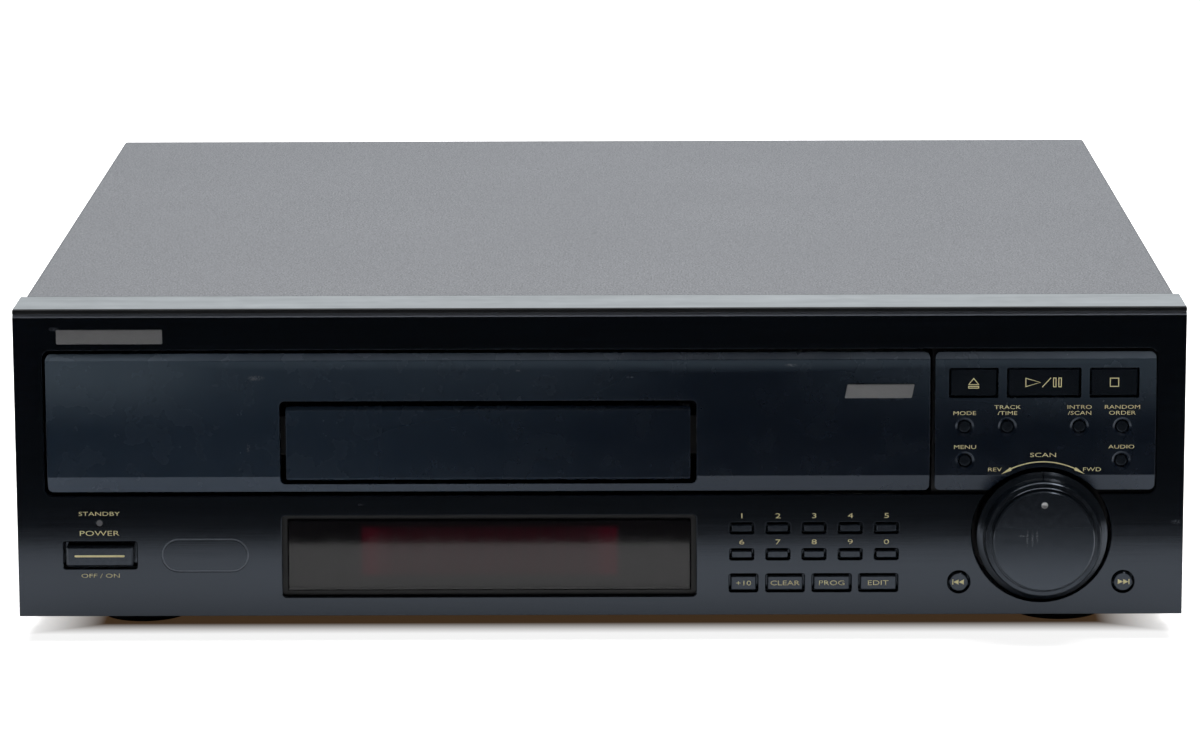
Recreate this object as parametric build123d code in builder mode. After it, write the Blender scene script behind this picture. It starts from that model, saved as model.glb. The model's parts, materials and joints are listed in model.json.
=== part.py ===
from build123d import *

import os
from math import acos, cos, isclose, pi, radians, sin, tan

# A disc player with a wide tray for 30 cm discs and a small tray for 12 cm discs nested in it.
# Millimetres. +Z is up and the front faces -Y. The origin is at the middle of the base, on the
# surface that the feet stand on. "Depth" is measured back from the fascia's face, "height" up
# from the bottom edge of the front panel.

# ---- Cabinet ----
width = 420.0
panel_height = 112.4
cabinet_depth = 405.0        # fascia face to the cover's rear edge
foot_height = 9.5
knob_reach = 13.0            # knob's cap in front of the fascia
jack_reach = 10.0            # sockets behind the cover's rear edge
frame_depth = 27.8
frame_wall = 2.5
cover_step = 1.5             # the cover stands in from the panel's end by this much
cover_sheet = 1.0
chassis_sheet = 1.2
seam = 0.3                   # between shells that meet
rear_inset = 1.0             # rear panel's face inside the cover's rear edge
flange_height = 14.0         # the chassis's upturned edges

front_y = knob_reach - (knob_reach + cabinet_depth + jack_reach) / 2
rear_y = front_y + cabinet_depth
frame_back = front_y + frame_depth
top_z = foot_height + panel_height
floor_z = foot_height + chassis_sheet
cover_half = width / 2 - cover_step
chassis_half = cover_half - cover_sheet - seam
rear_face = rear_y - rear_inset
rear_inside = rear_face - chassis_sheet

# ---- Discs and their trays ----
disc_x = -40.0               # the spindle, and the middle of both trays
disc_depth = 165.0
large_disc = 301.6
small_disc = 120.0
mini_disc = 80.0
disc_room = 1.2              # recess radius beyond the disc's
tray_half = 155.5
tray_bottom_height = 58.5
tray_thickness = 14.0
tray_plate = 2.5
tray_rim = 4.0
tray_length = 325.0          # front edge to the rear rim
tray_arm_length = 360.0      # front edge to the ends of the two side arms
tray_arm_width = 15.5
large_recess = 3.5
tray_travel = 312.0
slot_half = 35.0             # the opening for turntable and pickup
channel_half = 69.0          # in the large tray, for the small tray
channel_floor = 2.0
small_tray_length = 297.0
small_tray_thickness = 7.7
small_recess = 2.5
mini_recess = 1.0
slide_gap = 0.35             # between a tray and what it runs in
tongue = 2.8                 # the side tongues that carry the large tray
tongue_thickness = 4.0
tongue_rise = 2.4            # tongue's underside above the tray's
small_tongue = 1.5
small_tongue_thickness = 2.0

disc_y = front_y + disc_depth
tray_z = foot_height + tray_bottom_height
tray_top = tray_z + tray_thickness
large_seat = tray_top - large_recess
small_tray_z = tray_z + channel_floor + slide_gap
small_tray_top = small_tray_z + small_tray_thickness
small_seat = small_tray_top - small_recess
large_radius = large_disc / 2 + disc_room
small_radius = small_disc / 2 + disc_room
mini_radius = mini_disc / 2 + disc_room

# ---- Fascia, doors and control panel ----
plate_thickness = 2.5
plate_lip = 1.3              # frame's lip over the plate's top edge
plate_bevel = 1.4
plate_height = panel_height - plate_lip
hole_break = 0.3             # chamfer round the plate's openings
wall_back = plate_thickness + frame_wall
door_back = wall_back
small_door_back = 4.0
door_width = 316.7
door_bottom = 46.0
door_height = 50.5
door_proud = 3.0
door_ridge = 5.9             # the ridge's height above the door's bottom
door_foot = 0.5              # how proud the door's bottom edge is
door_lean = radians(1.1)
door_bevel = 2.2
door_corner = 2.0
door_gap = 1.4
door_gap_below = 1.6
door_gap_above = 1.1
control_gap = 1.9
control_width = 78.9
control_end_gap = 0.6
small_bay_width = 149.6
small_bay_bottom = 49.0
small_bay_height = 30.6
small_door_width = 145.0
small_door_bottom = 50.7
small_door_height = 26.7
small_door_bevel = 1.4
small_door_corner = 0.8


class Area:
    """A rectangle on the front panel: its x limits and its heights above the panel's bottom."""

    def __init__(self, left, right, bottom, top):
        self.left, self.right, self.bottom, self.top = left, right, bottom, top
        self.width, self.height = right - left, top - bottom
        self.centre = ((left + right) / 2, (bottom + top) / 2)

    def grown(self, by):
        return Area(self.left - by, self.right + by, self.bottom - by, self.top + by)

    @classmethod
    def about(cls, x, width, bottom, height):
        return cls(x - width / 2, x + width / 2, bottom, bottom + height)


large_door_area = Area.about(disc_x, door_width, door_bottom, door_height)
small_door_area = Area.about(disc_x, small_door_width, small_door_bottom, small_door_height)
small_bay = Area.about(disc_x, small_bay_width, small_bay_bottom, small_bay_height)
control_left = large_door_area.right + control_gap
control_area = Area(control_left, control_left + control_width, door_bottom, large_door_area.top)
bay = Area(
    large_door_area.left - door_gap,
    control_area.right + control_end_gap,
    door_bottom - door_gap_below,
    large_door_area.top + door_gap_above,
)
door_bay = Area(bay.left, (large_door_area.right + control_area.left) / 2, bay.bottom, bay.top)
bay_corner = 3.0

# ---- Controls ----
knob_x, knob_height = 159.0, 29.7
knob_hole_radius = 25.1
knob_radius = 23.45
knob_mid_radius = 20.9
knob_cap_radius = 18.25
knob_skirt_proud = 4.0
knob_mid_proud = 10.0
knob_cap_thickness = 2.6
knob_inside = 8.0            # skirt's rear edge behind the fascia
knob_wall = 2.5
knob_cup_depth = 14.0
knob_cup_wall = 2.0
knob_shaft_radius = 3.0
knob_edge, knob_skirt_edge, knob_step = 0.9, 0.8, 0.5
knob_index_width = 0.4
running = 0.06               # radial clearance of a shaft in its bore
button_gap = 0.6
flange_depth = wall_back + seam
flange_thickness = 1.2
flange_overlap = 1.0
stem_radius = 1.5
stem_length = 1.7
key_travel = 0.7
key_proud = 0.2
skip_proud, skip_gap = 0.3, 0.5
round_gap = 0.3
button_corner, button_bevel, power_bevel = 0.8, 0.4, 0.7
main_travel = 0.8
power_travel = 1.2
stem_end = flange_depth + flange_thickness + stem_length

main_row_bottom, main_row_height = 80.0, 11.1
eject_width, play_width, stop_width = 17.8, 26.7, 17.9
eject_inset = 4.8            # eject's left end from the control panel's
main_row_space = 2.9
round_radius = 2.25
round_dish_radius, round_dish_depth = 3.55, 0.6
upper_round_height, lower_round_height = 69.6, 57.25
upper_round_near, upper_round_far = 12.9, 28.2
lower_round_out = 28.0
skip_radius = 4.0
skip_out, skip_height = 29.6, 11.95
key_left, key_pitch = 51.1, 13.03
key_hole_width, key_hole_height = 8.6, 4.0
upper_key_row, lower_key_row = 32.0, 22.35
long_row_bottom, long_row_height = 8.5, 6.5
power_area = Area(-193.6, -167.1, 17.6, 27.5)
power_gap = 1.2
power_proud = 2.0
lens_x, lens_height, lens_radius = -180.4, 34.4, 1.1
lens_flange, lens_flange_width, lens_sink = 1.5, 0.9, 0.2
lamp_radius = 1.5
oval = Area(-158.2, -126.7, 16.3, 28.5)
oval_line, oval_depth = 0.6, 0.3
window_recess = Area.about(disc_x, 149.3, 6.9, 30.0)
window_area = Area.about(disc_x, 145.4, 9.0, 26.0)
window_corner = 1.5
window_sink = 1.0            # glass face behind the fascia's
window_flange = 2.0
window_chamfer = 0.4
window_flange_thickness = 1.5
tube_area = Area(-88.0, 8.0, 12.0, 33.0)

# ---- Boards ----
board = 1.6
board_depth = 12.0
solder_gap = 0.1             # components stand this far off their board
board_boss_radius = 1.6
switch_size = 5.0
plunger_radius = 1.7

# ---- Disc mechanism ----
lift = 8.0                   # the mechanism rises this far to take a disc off its tray
base_plate = 3.0
base_drop = 21.0             # base plate's underside below the tray's
base_half = 60.0
base_front = disc_y - 39.0
base_rear = disc_y + 201.0
base_rib = 6.0
post_out, post_inset = 52.0, 7.0
post_radius, post_pin_radius = 6.0, 3.0
turntable_radius = 19.5
turntable_thickness = 3.0
turntable_edge = 0.4
spindle_moat, spindle_moat_depth = 1.6, 0.6
spindle_straight, spindle_taper = 1.2, 2.6
turntable_drop = 3.5         # its plate's top under the small disc's seat
spindle_radius = 7.4
spindle_height = 2.5
motor_radius, motor_height = 24.0, 16.0
motor_neck_radius = 15.0
motor_shaft_radius = 2.0
lens_start = 24.0            # lens to spindle at the innermost track
pickup_travel = 121.0
pickup_half = 22.0
pickup_length = 44.0
pickup_nose = 7.0            # front of the pickup's body ahead of the lens
actuator_half, actuator_rear, actuator_height = 13.0, 14.0, 4.0
lens_holder_radius, lens_radius_up = 3.6, 1.0
lens_drop = 1.6              # lens holder's top under the turntable's
optics_inset, optics_front, optics_rear, optics_depth = 4.0, 12.0, 3.0, 8.0
lug_length, lug_width, lug_wall = 12.0, 5.5, 1.5
hub_radius, hub_top = 6.0, 1.0
pickup_opening_half, pickup_opening_start = 26.0, 10.0
sled_bearing_radius = 3.0
rod_radius, rod_out = 2.5, 30.0
rod_rise = 4.0               # rod's centre above the base plate
rod_post = 9.0
module = 1.0
pressure_angle = radians(20)
backlash = 0.1               # taken off each flank
tooth_tip, tooth_root = 0.9 * module, 1.25 * module
sled_teeth = 16
sled_gear_y = disc_y + 76.0
sled_motor_radius, sled_motor_height = 12.0, 22.0
sled_shaft_radius = 1.0

# ---- Tray loading ----
rail_gap = 0.4
rail_width = 8.0
rail_below, rail_above = 2.0, 2.0     # rail's height below the tray's underside, and tray over rail
rail_front_depth = 8.0
rail_end = 172.0             # y of the rails' rear ends
side_wall = 2.5
side_wall_start = 32.0       # depth at which the walls under the rails start
cross_width, cross_height = 14.0, 4.0
loading_teeth = 32
loading_gear_depth = 41.0
pulley_groove_radius, pulley_rim = 15.0, 2.0
motor_pulley_groove_radius, motor_pulley_rim = 4.0, 1.5
pulley_height = 8.0
gear_neck_radius, gear_room = 6.0, 0.4
belt = 2.0
belt_gap = 0.1
shelf_thickness = 4.0
shelf_drop = 14.0            # shelf's top below the tray's underside
shelf_half = 17.0
loading_motor_x = 58.0
loading_motor_radius, loading_motor_height = 12.0, 24.0
axle_radius = 2.0

# ---- Clamper ----
bridge_rise = 14.2           # bridge's top above the tray's
bridge_half = 30.0
bridge_hole_radius = 21.0
clamper_radius, clamper_neck_radius, clamper_cap_radius = 30.0, 18.0, 26.0
clamper_pad = 5.0
clamper_clear = 1.3          # over the raised turntable
clamper_recess_radius, clamper_recess = 11.0, 3.5
clamper_cap, clamper_wall, clamper_well = 2.0, 3.0, 6.0
bridge_inset = 2.0           # bridge's legs in from the rails' outer faces
bridge_rib_width, bridge_rib_height, bridge_rib_inset = 4.0, 1.0, 6.0

# ---- Rear ----
rca_radius, rca_core_radius, rca_pin_radius = 4.15, 3.5, 1.6
rca_length = 10.0            # the outer shell that a plug slides over
rca_collar_radius, rca_collar_proud = 5.2, 0.6
rca_neck_radius = 3.9        # between the collar and the shell
rca_shell, rca_socket_depth = 0.9, 6.0
rca_pitch = 16.0
rca_middle = -76.0
rca_columns = (rca_middle - rca_pitch, rca_middle, rca_middle + rca_pitch)
rca_rows = (31.0, 31.0 + rca_pitch)
rca_block_gap, rca_block_depth = 1.0, 18.0
scart_width, scart_height, scart_depth = 54.0, 19.0, 17.0
scart_x = 60.0 - width / 2
scart_rows = (34.0, 66.0)
scart_proud = 3.0
scart_wall, scart_ring, scart_cavity = 2.0, 4.0, 9.0
scart_corner = 2.0
mini_x = -34.0
mini_radius_outer, mini_radius_inner = 4.0, 1.8
mini_proud, mini_depth = 2.0, 12.0
mini_block_width, mini_block_height = 14.0, 12.0
inlet_x, inlet_height = width / 2 - 50.0, 32.0
inlet_width, inlet_tall, inlet_depth = 27.0, 17.0, 22.0
inlet_corner, inlet_rim, inlet_proud = 1.5, 2.0, 2.0
inlet_well, inlet_well_height = 12.0, 11.0
inlet_pin_radius, inlet_pin_pitch, inlet_pin_short = 1.2, 8.6, 1.0

# ---- Screws, vents and feet ----
screw_radius, screw_length = 1.8, 3.4
screw_head_radius, screw_head, side_screw_head = 4.0, 2.2, 1.2
screw_bore = 0.02            # radial room of a screw in its thread's hole
screw_room = 0.2             # and in the cover
side_screw_front, side_screw_rear = 75.0, 55.0
rear_screw_inset, rear_screw_bottom, rear_screw_top = 14.0, 22.0, 10.0
vent_length, vent_width, vent_pitch, vent_space = 26.0, 3.0, 8.0, 6.0
base_vents = ((168.0, 20.0), (-150.0, 60.0), (60.0, 60.0))
base_vent_rows, rear_vent_rows = 8, 5
rear_vent_place = (110.0, 80.0)      # x and z
cover_bottom_gap, cover_corner = 0.8, 1.5
foot_radius, foot_taper = 17.0, 1.5
foot_inset, foot_front, foot_rear = 41.5, 46.0, 44.0
foot_recess_radius, foot_recess = 9.5, 1.5


# ---- Helpers ----
def panel_plane(depth):
    """Parallel to the fascia: local x across, local y the height, extrusions come forward."""
    return Plane((0, front_y + depth, foot_height), x_dir=(1, 0, 0), z_dir=(0, -1, 0))


def side_plane(x):
    """Across the cabinet at x: local x is the depth, local y the height."""
    return Plane((x, front_y, foot_height), x_dir=(0, 1, 0), z_dir=(1, 0, 0))


def rear_plane(y):
    """Parallel to the rear panel: local x runs towards -X, local y is z, extrusions go back."""
    return Plane((0, y, 0), x_dir=(-1, 0, 0), z_dir=(0, 1, 0))


def span_box(x_span, y_span, z_span, mode=Mode.ADD):
    """A box between two limits on each axis."""
    middle = [(low + high) / 2 for low, high in (x_span, y_span, z_span)]
    sizes = [abs(high - low) for low, high in (x_span, y_span, z_span)]
    with Locations(tuple(middle)):
        Box(*sizes, mode=mode)


def upright(x, y, z_span, radius, mode=Mode.ADD):
    """A cylinder along Z between two heights."""
    low, high = z_span
    with Locations((x, y, low)):
        Cylinder(radius, high - low, align=(Align.CENTER, Align.CENTER, Align.MIN), mode=mode)


def draw(area, corner=0.0, mode=Mode.ADD):
    """An area's rectangle in the current sketch."""
    with Locations(area.centre):
        if corner > 0:
            RectangleRounded(area.width, area.height, corner, mode=mode)
        else:
            Rectangle(area.width, area.height, mode=mode)


def finish(piece, label):
    piece.part.label = label
    pieces.append(piece.part)
    return piece


def face_depth(height):
    """Depth of the doors' leaning face at a height."""
    return (height - door_bottom - door_ridge) * tan(door_lean) - door_proud


def door_points(area, back, bevel, bottom_points):
    """The profile of a door or control panel, as depths and heights."""
    shoulder = area.top - bevel
    return [
        (back, area.bottom),
        *bottom_points,
        (face_depth(shoulder), shoulder),
        (face_depth(shoulder) + bevel, area.top),
        (back, area.top),
    ]


def involute(angle):
    return tan(angle) - angle


def gear_points(teeth, x, y):
    """A spur gear's outline about an axis, with one tooth centred on +X."""
    radius = module * teeth / 2
    base = radius * cos(pressure_angle)
    half_tooth = pi / (2 * teeth) - backlash / radius + involute(pressure_angle)
    root, tip = radius - tooth_root, radius + tooth_tip
    radii = [root] + [base + (tip - base) * step / 4 for step in range(1, 5)]
    flank = [(r, half_tooth - involute(acos(min(1.0, base / max(r, base))))) for r in radii]
    outline = [(r, -turn) for r, turn in flank] + [(r, turn) for r, turn in reversed(flank)]
    turns = [(r, turn + 2 * pi * tooth / teeth) for tooth in range(teeth) for r, turn in outline]
    return [(x + r * cos(turn), y + r * sin(turn)) for r, turn in turns]


def rack_points(root_x, direction, mid_y, low_y, high_y, backing):
    """A rack along Y. Its teeth point along direction from root_x, with a gap at mid_y."""
    pitch = pi * module
    reach = tooth_root + tooth_tip
    half_root = pitch / 4 - backlash + tooth_root * tan(pressure_angle)
    half_tip = pitch / 4 - backlash - tooth_tip * tan(pressure_angle)
    first = int((low_y - mid_y) / pitch) - 1
    last = int((high_y - mid_y) / pitch) + 1
    middles = [mid_y + (number + 0.5) * pitch for number in range(first, last)]
    points = [(root_x - direction * backing, low_y), (root_x, low_y)]
    for middle in middles:
        if low_y < middle - half_root and middle + half_root < high_y:
            points += [
                (root_x, middle - half_root),
                (root_x + direction * reach, middle - half_tip),
                (root_x + direction * reach, middle + half_tip),
                (root_x, middle + half_root),
            ]
    return points + [(root_x, high_y), (root_x - direction * backing, high_y)]


def extrude_outline(points, low_z, high_z, mode=Mode.ADD):
    """A closed outline in XY, from one height to another."""
    with BuildSketch(Plane.XY.offset(low_z)) as outline:
        with BuildLine():
            Polyline(*points, close=True)
        make_face()
    extrude(outline.sketch, amount=high_z - low_z, mode=mode)


pieces = []


class Button:
    """A push button: its hole on the panel, the gap round it, its face's depth and its travel."""

    def __init__(self, label, hole, face, travel, gap=button_gap, bevel=button_bevel):
        self.label, self.hole, self.face, self.travel = label, hole, face, travel
        self.gap, self.bevel = gap, bevel
        self.round = isclose(hole.width, hole.height)

    def outline(self, grow, mode=Mode.ADD):
        """The hole's outline, grown or shrunk."""
        if self.round:
            with Locations(self.hole.centre):
                Circle(self.hole.width / 2 + grow, mode=mode)
        else:
            draw(self.hole.grown(grow), max(button_corner + grow, self.bevel + 0.1), mode=mode)


def round_area(x, height, radius):
    return Area(x - radius, x + radius, height - radius, height + radius)


main_face = face_depth(main_row_bottom) + 0.9
round_face = face_depth(upper_round_height) + 0.5
eject_left = control_area.left + eject_inset
play_left = eject_left + eject_width + main_row_space
stop_left = play_left + play_width + main_row_space
main_places = {
    "eject_button": (eject_left, eject_width),
    "play_button": (play_left, play_width),
    "stop_button": (stop_left, stop_width),
}
main_buttons = [
    Button(
        label,
        Area(left, left + across, main_row_bottom, main_row_bottom + main_row_height),
        main_face,
        main_travel,
    )
    for label, (left, across) in main_places.items()
]
round_places = {
    "direct_button": (-upper_round_far, upper_round_height),
    "time_button": (-upper_round_near, upper_round_height),
    "intro_button": (upper_round_near, upper_round_height),
    "random_button": (upper_round_far, upper_round_height),
    "system_button": (-lower_round_out, lower_round_height),
    "language_button": (lower_round_out, lower_round_height),
}
round_buttons = [
    Button(label, round_area(knob_x + out, height, round_radius + round_gap), round_face, key_travel, gap=round_gap)
    for label, (out, height) in round_places.items()
]
skip_buttons = [
    Button(label, round_area(knob_x + out, skip_height, skip_radius), -skip_proud, key_travel, gap=skip_gap)
    for label, out in (("skip_back_button", -skip_out), ("skip_forward_button", skip_out))
]
number_keys = [
    Button(
        f"key_{(number + 1) % 10}",
        Area.about(
            key_left + key_pitch * (number % 5),
            key_hole_width,
            (upper_key_row if number < 5 else lower_key_row) - key_hole_height / 2,
            key_hole_height,
        ),
        -key_proud,
        key_travel,
    )
    for number in range(10)
]
long_places = {
    "key_plus_ten": (46.6, 10.3),
    "clear_key": (59.8, 13.9),
    "program_key": (76.5, 14.1),
    "edit_key": (93.3, 14.1),
}
long_keys = [
    Button(
        label,
        Area(left, left + across, long_row_bottom, long_row_bottom + long_row_height),
        -key_proud,
        key_travel,
    )
    for label, (left, across) in long_places.items()
]
power_button = Button("power_button", power_area, -power_proud, power_travel, gap=power_gap, bevel=power_bevel)
plate_buttons = [power_button] + skip_buttons + number_keys + long_keys
panel_buttons = main_buttons + round_buttons
buttons = plate_buttons + panel_buttons

boss_inset, boss_top_inset = 14.0, 2.2       # from the panel's ends and from the control panel's top
key_boss_heights = (8.0, 40.0)
boss_window_gap, boss_panel_gap = 7.0, 2.4
board_bosses = [
    (x, height)
    for x in (-width / 2 + boss_inset, window_recess.left - boss_window_gap, control_area.left - boss_panel_gap)
    for height in key_boss_heights
] + [
    (control_area.left + boss_inset, control_area.top - boss_top_inset),
    (control_area.right - boss_inset, control_area.top - boss_top_inset),
    (width / 2 - boss_inset, lower_round_height),
    (width / 2 - boss_inset, key_boss_heights[0]),
]

# ---- Front: frame, fascia plate and control panel ----
with BuildPart() as front_frame:
    with BuildSketch(panel_plane(frame_depth)):
        with Locations((0, panel_height / 2)):
            Rectangle(width, panel_height)
            Rectangle(width - 2 * frame_wall, panel_height - 2 * frame_wall, mode=Mode.SUBTRACT)
    extrude(amount=frame_depth - plate_thickness)
    with BuildSketch(panel_plane(wall_back)):
        with Locations((0, panel_height / 2)):
            Rectangle(width, panel_height)
    extrude(amount=frame_wall)
    # The lip over the plate's top edge.
    with BuildSketch(panel_plane(plate_thickness)):
        with Locations((0, plate_height + plate_lip / 2)):
            Rectangle(width, plate_lip)
    extrude(amount=plate_thickness - seam)
    # The bosses that carry the key board and the control board.
    with BuildSketch(panel_plane(board_depth)):
        with Locations(*board_bosses):
            Circle(board_boss_radius)
    extrude(amount=board_depth - wall_back)
    # The cup behind the knob.
    with BuildSketch(panel_plane(knob_cup_depth)):
        with Locations((knob_x, knob_height)):
            Circle(knob_hole_radius + knob_cup_wall)
    extrude(amount=knob_cup_depth - plate_thickness)
    with BuildSketch(panel_plane(knob_cup_depth - knob_cup_wall)):
        with Locations((knob_x, knob_height)):
            Circle(knob_hole_radius)
    extrude(amount=knob_cup_depth, mode=Mode.SUBTRACT)
    with BuildSketch(panel_plane(frame_depth)):
        with Locations((knob_x, knob_height)):
            Circle(knob_shaft_radius + 1.0)
        draw(door_bay)
        draw(window_area)
        for button in buttons:
            button.outline(seam)
        with Locations((lens_x, lens_height)):
            Circle(lens_radius)
    extrude(amount=frame_depth, mode=Mode.SUBTRACT)
finish(front_frame, "front_frame")

with BuildPart() as fascia_plate:
    with BuildSketch(panel_plane(plate_thickness)):
        with Locations((0, plate_height / 2)):
            Rectangle(width, plate_height)
        draw(bay, bay_corner, mode=Mode.SUBTRACT)
        with Locations((knob_x, knob_height)):
            Circle(knob_hole_radius, mode=Mode.SUBTRACT)
        draw(window_recess, window_corner, mode=Mode.SUBTRACT)
        for button in plate_buttons:
            button.outline(0, mode=Mode.SUBTRACT)
        with Locations((lens_x, lens_height)):
            Circle(lens_radius, mode=Mode.SUBTRACT)
    extrude(amount=plate_thickness)
    front_face = fascia_plate.faces().filter_by(Axis.Y).sort_by(Axis.Y)[0]
    chamfer(front_face.inner_wires().edges(), length=hole_break)
    top_edge = fascia_plate.edges().filter_by(Axis.X).group_by(Axis.Z)[-1].sort_by(Axis.Y)[0]
    chamfer(top_edge, length=plate_bevel)
    # The engraved oval.
    with BuildSketch(panel_plane(0)):
        with Locations(oval.centre):
            SlotOverall(oval.width, oval.height)
            SlotOverall(oval.width - 2 * oval_line, oval.height - 2 * oval_line, mode=Mode.SUBTRACT)
    extrude(amount=-oval_depth, mode=Mode.SUBTRACT)
finish(fascia_plate, "fascia_plate")

ridge_points = [(-door_foot, door_bottom), (-door_proud, door_bottom + door_ridge)]
with BuildPart() as control_panel:
    with BuildSketch(side_plane(control_area.left)):
        with BuildLine():
            Polyline(*door_points(control_area, plate_thickness, door_bevel, ridge_points), close=True)
        make_face()
    extrude(amount=control_area.width)
    with BuildSketch(panel_plane(plate_thickness)):
        draw(control_area, door_corner)
    extrude(amount=plate_thickness + door_proud, mode=Mode.INTERSECT)
    with BuildSketch(panel_plane(plate_thickness)):
        with Locations((knob_x, knob_height)):
            Circle(knob_hole_radius)
        for button in panel_buttons:
            button.outline(0)
    extrude(amount=plate_thickness + door_proud, mode=Mode.SUBTRACT)
    # A dish round each of the small round buttons.
    for button in round_buttons:
        x, height = button.hole.centre
        surface = face_depth(height)
        with BuildSketch(panel_plane(surface + round_dish_depth)):
            with Locations((x, height)):
                Circle(button.hole.width / 2)
        with BuildSketch(panel_plane(surface - 0.1)):
            with Locations((x, height)):
                Circle(round_dish_radius)
        loft(mode=Mode.SUBTRACT)
finish(control_panel, "control_panel")

with BuildPart() as display_window:
    with BuildSketch(panel_plane(wall_back)):
        draw(window_area)
    extrude(amount=wall_back - window_sink)
    with BuildSketch(panel_plane(wall_back + window_flange_thickness)):
        draw(window_area.grown(window_flange))
    extrude(amount=window_flange_thickness)
    chamfer(display_window.faces().filter_by(Axis.Y).sort_by(Axis.Y)[0].edges(), length=window_chamfer)
finish(display_window, "display_window")

with BuildPart() as standby_lens:
    with BuildSketch(panel_plane(wall_back + lens_flange)):
        with Locations((lens_x, lens_height)):
            Circle(lens_radius)
    extrude(amount=wall_back + lens_flange - lens_sink)
    with BuildSketch(panel_plane(wall_back + lens_flange)):
        with Locations((lens_x, lens_height)):
            Circle(lens_radius + lens_flange_width)
    extrude(amount=lens_flange)
finish(standby_lens, "standby_lens")

# ---- Push buttons ----
for button in buttons:
    with BuildPart() as cap:
        with BuildSketch(panel_plane(flange_depth)):
            button.outline(-button.gap)
        extrude(amount=flange_depth - button.face)
        chamfer(cap.faces().filter_by(Axis.Y).sort_by(Axis.Y)[0].edges(), length=button.bevel)
        with BuildSketch(panel_plane(flange_depth + flange_thickness)):
            button.outline(flange_overlap)
        extrude(amount=flange_thickness)
        with BuildSketch(panel_plane(stem_end)):
            with Locations(button.hole.centre):
                Circle(stem_radius)
        extrude(amount=stem_length)
    finish(cap, button.label)

# ---- Scan knob ----
knob_plane = Plane(
    (knob_x, front_y, foot_height + knob_height), x_dir=(1, 0, 0), z_dir=(0, 0, 1)
)
knob_axis = Axis((knob_x, front_y, foot_height + knob_height), (0, 1, 0))
cap_back = knob_cap_thickness - knob_reach

with BuildPart() as scan_knob:
    with BuildSketch(knob_plane):
        with BuildLine():
            Polyline(
                (0, cap_back),
                (knob_cap_radius + 0.6, cap_back),
                (knob_cap_radius + knob_edge, -knob_mid_proud),
                (knob_mid_radius - 0.4, -knob_mid_proud),
                (knob_mid_radius, knob_step - knob_mid_proud),
                (knob_mid_radius + knob_step, -knob_skirt_proud - knob_skirt_edge),
                (knob_radius - knob_edge, -knob_skirt_proud),
                (knob_radius, knob_skirt_edge - knob_skirt_proud),
                (knob_radius, knob_inside),
                (knob_radius - knob_wall, knob_inside),
                (knob_radius - knob_wall, knob_wall - knob_skirt_proud),
                (knob_shaft_radius + knob_wall, knob_wall - knob_skirt_proud),
                (knob_shaft_radius + knob_wall, knob_inside),
                (knob_shaft_radius + running, knob_inside),
                (knob_shaft_radius + running, -knob_skirt_proud),
                (0, -knob_skirt_proud),
                close=True,
            )
        make_face()
    revolve(axis=knob_axis)
    # The index line on the skirt.
    span_box(
        (knob_x - knob_index_width / 2, knob_x + knob_index_width / 2),
        (front_y - knob_mid_proud - 1, front_y - 1),
        (foot_height + knob_height + knob_mid_radius + 0.3, foot_height + knob_height + knob_radius + 1),
        mode=Mode.SUBTRACT,
    )
finish(scan_knob, "scan_knob")

dot_radius, dot_out, dot_depth = 1.2, 13.3, 0.6
with BuildPart() as scan_knob_cap:
    with BuildSketch(panel_plane(cap_back)):
        with Locations((knob_x, knob_height)):
            Circle(knob_cap_radius)
    extrude(amount=knob_cap_thickness)
    chamfer(scan_knob_cap.faces().filter_by(Axis.Y).sort_by(Axis.Y)[0].edges(), length=0.5)
    with BuildSketch(panel_plane(-knob_reach)):
        with Locations((knob_x, knob_height + dot_out)):
            Circle(dot_radius)
    extrude(amount=-dot_depth, mode=Mode.SUBTRACT)
finish(scan_knob_cap, "scan_knob_cap")

# ---- Front board: switches, display tube and the knob's encoder ----
board_left, board_right = -199.0, 198.5
board_bottom, key_board_top = 4.0, 43.0
board_notch = knob_hole_radius + knob_cup_wall + 1.5
control_board_left = disc_x + tray_half + rail_gap + rail_width + 1.7
board_space = 1.0            # between the key board and the control board
encoder_half, encoder_depth = 8.0, 9.0

with BuildPart() as front_board:
    with BuildSketch(panel_plane(board_depth + board)):
        draw(Area(board_left, control_board_left - board_space, board_bottom, key_board_top))
        draw(Area(control_board_left, board_right, board_bottom, control_area.top))
        with Locations((knob_x, knob_height)):
            Circle(board_notch, mode=Mode.SUBTRACT)
    extrude(amount=board)
    for button in buttons:
        plunger_top = stem_end + button.travel + seam
        switch_top = (plunger_top + board_depth) / 2
        with BuildSketch(panel_plane(board_depth - solder_gap)):
            with Locations(button.hole.centre):
                Rectangle(switch_size, switch_size)
        extrude(amount=board_depth - solder_gap - switch_top)
        with BuildSketch(panel_plane(switch_top)):
            with Locations(button.hole.centre):
                Circle(plunger_radius)
        extrude(amount=switch_top - plunger_top)
    # Display tube.
    tube_front = wall_back + window_flange_thickness + 0.4
    with BuildSketch(panel_plane(board_depth - solder_gap)):
        draw(tube_area)
    extrude(amount=board_depth - solder_gap - tube_front)
    # Standby lamp behind its lens.
    with BuildSketch(panel_plane(board_depth - solder_gap)):
        with Locations((lens_x, lens_height)):
            Circle(lamp_radius)
    extrude(amount=board_depth - solder_gap - wall_back - lens_flange - solder_gap)
    # Encoder on the back of the knob's cup, its shaft in the knob.
    with BuildSketch(panel_plane(knob_cup_depth + encoder_depth)):
        with Locations((knob_x, knob_height)):
            Rectangle(2 * encoder_half, 2 * encoder_half)
    extrude(amount=encoder_depth)
    with BuildSketch(panel_plane(knob_cup_depth)):
        with Locations((knob_x, knob_height)):
            Circle(knob_shaft_radius)
    extrude(amount=knob_cup_depth + knob_skirt_proud - seam)
finish(front_board, "front_board")

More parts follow.
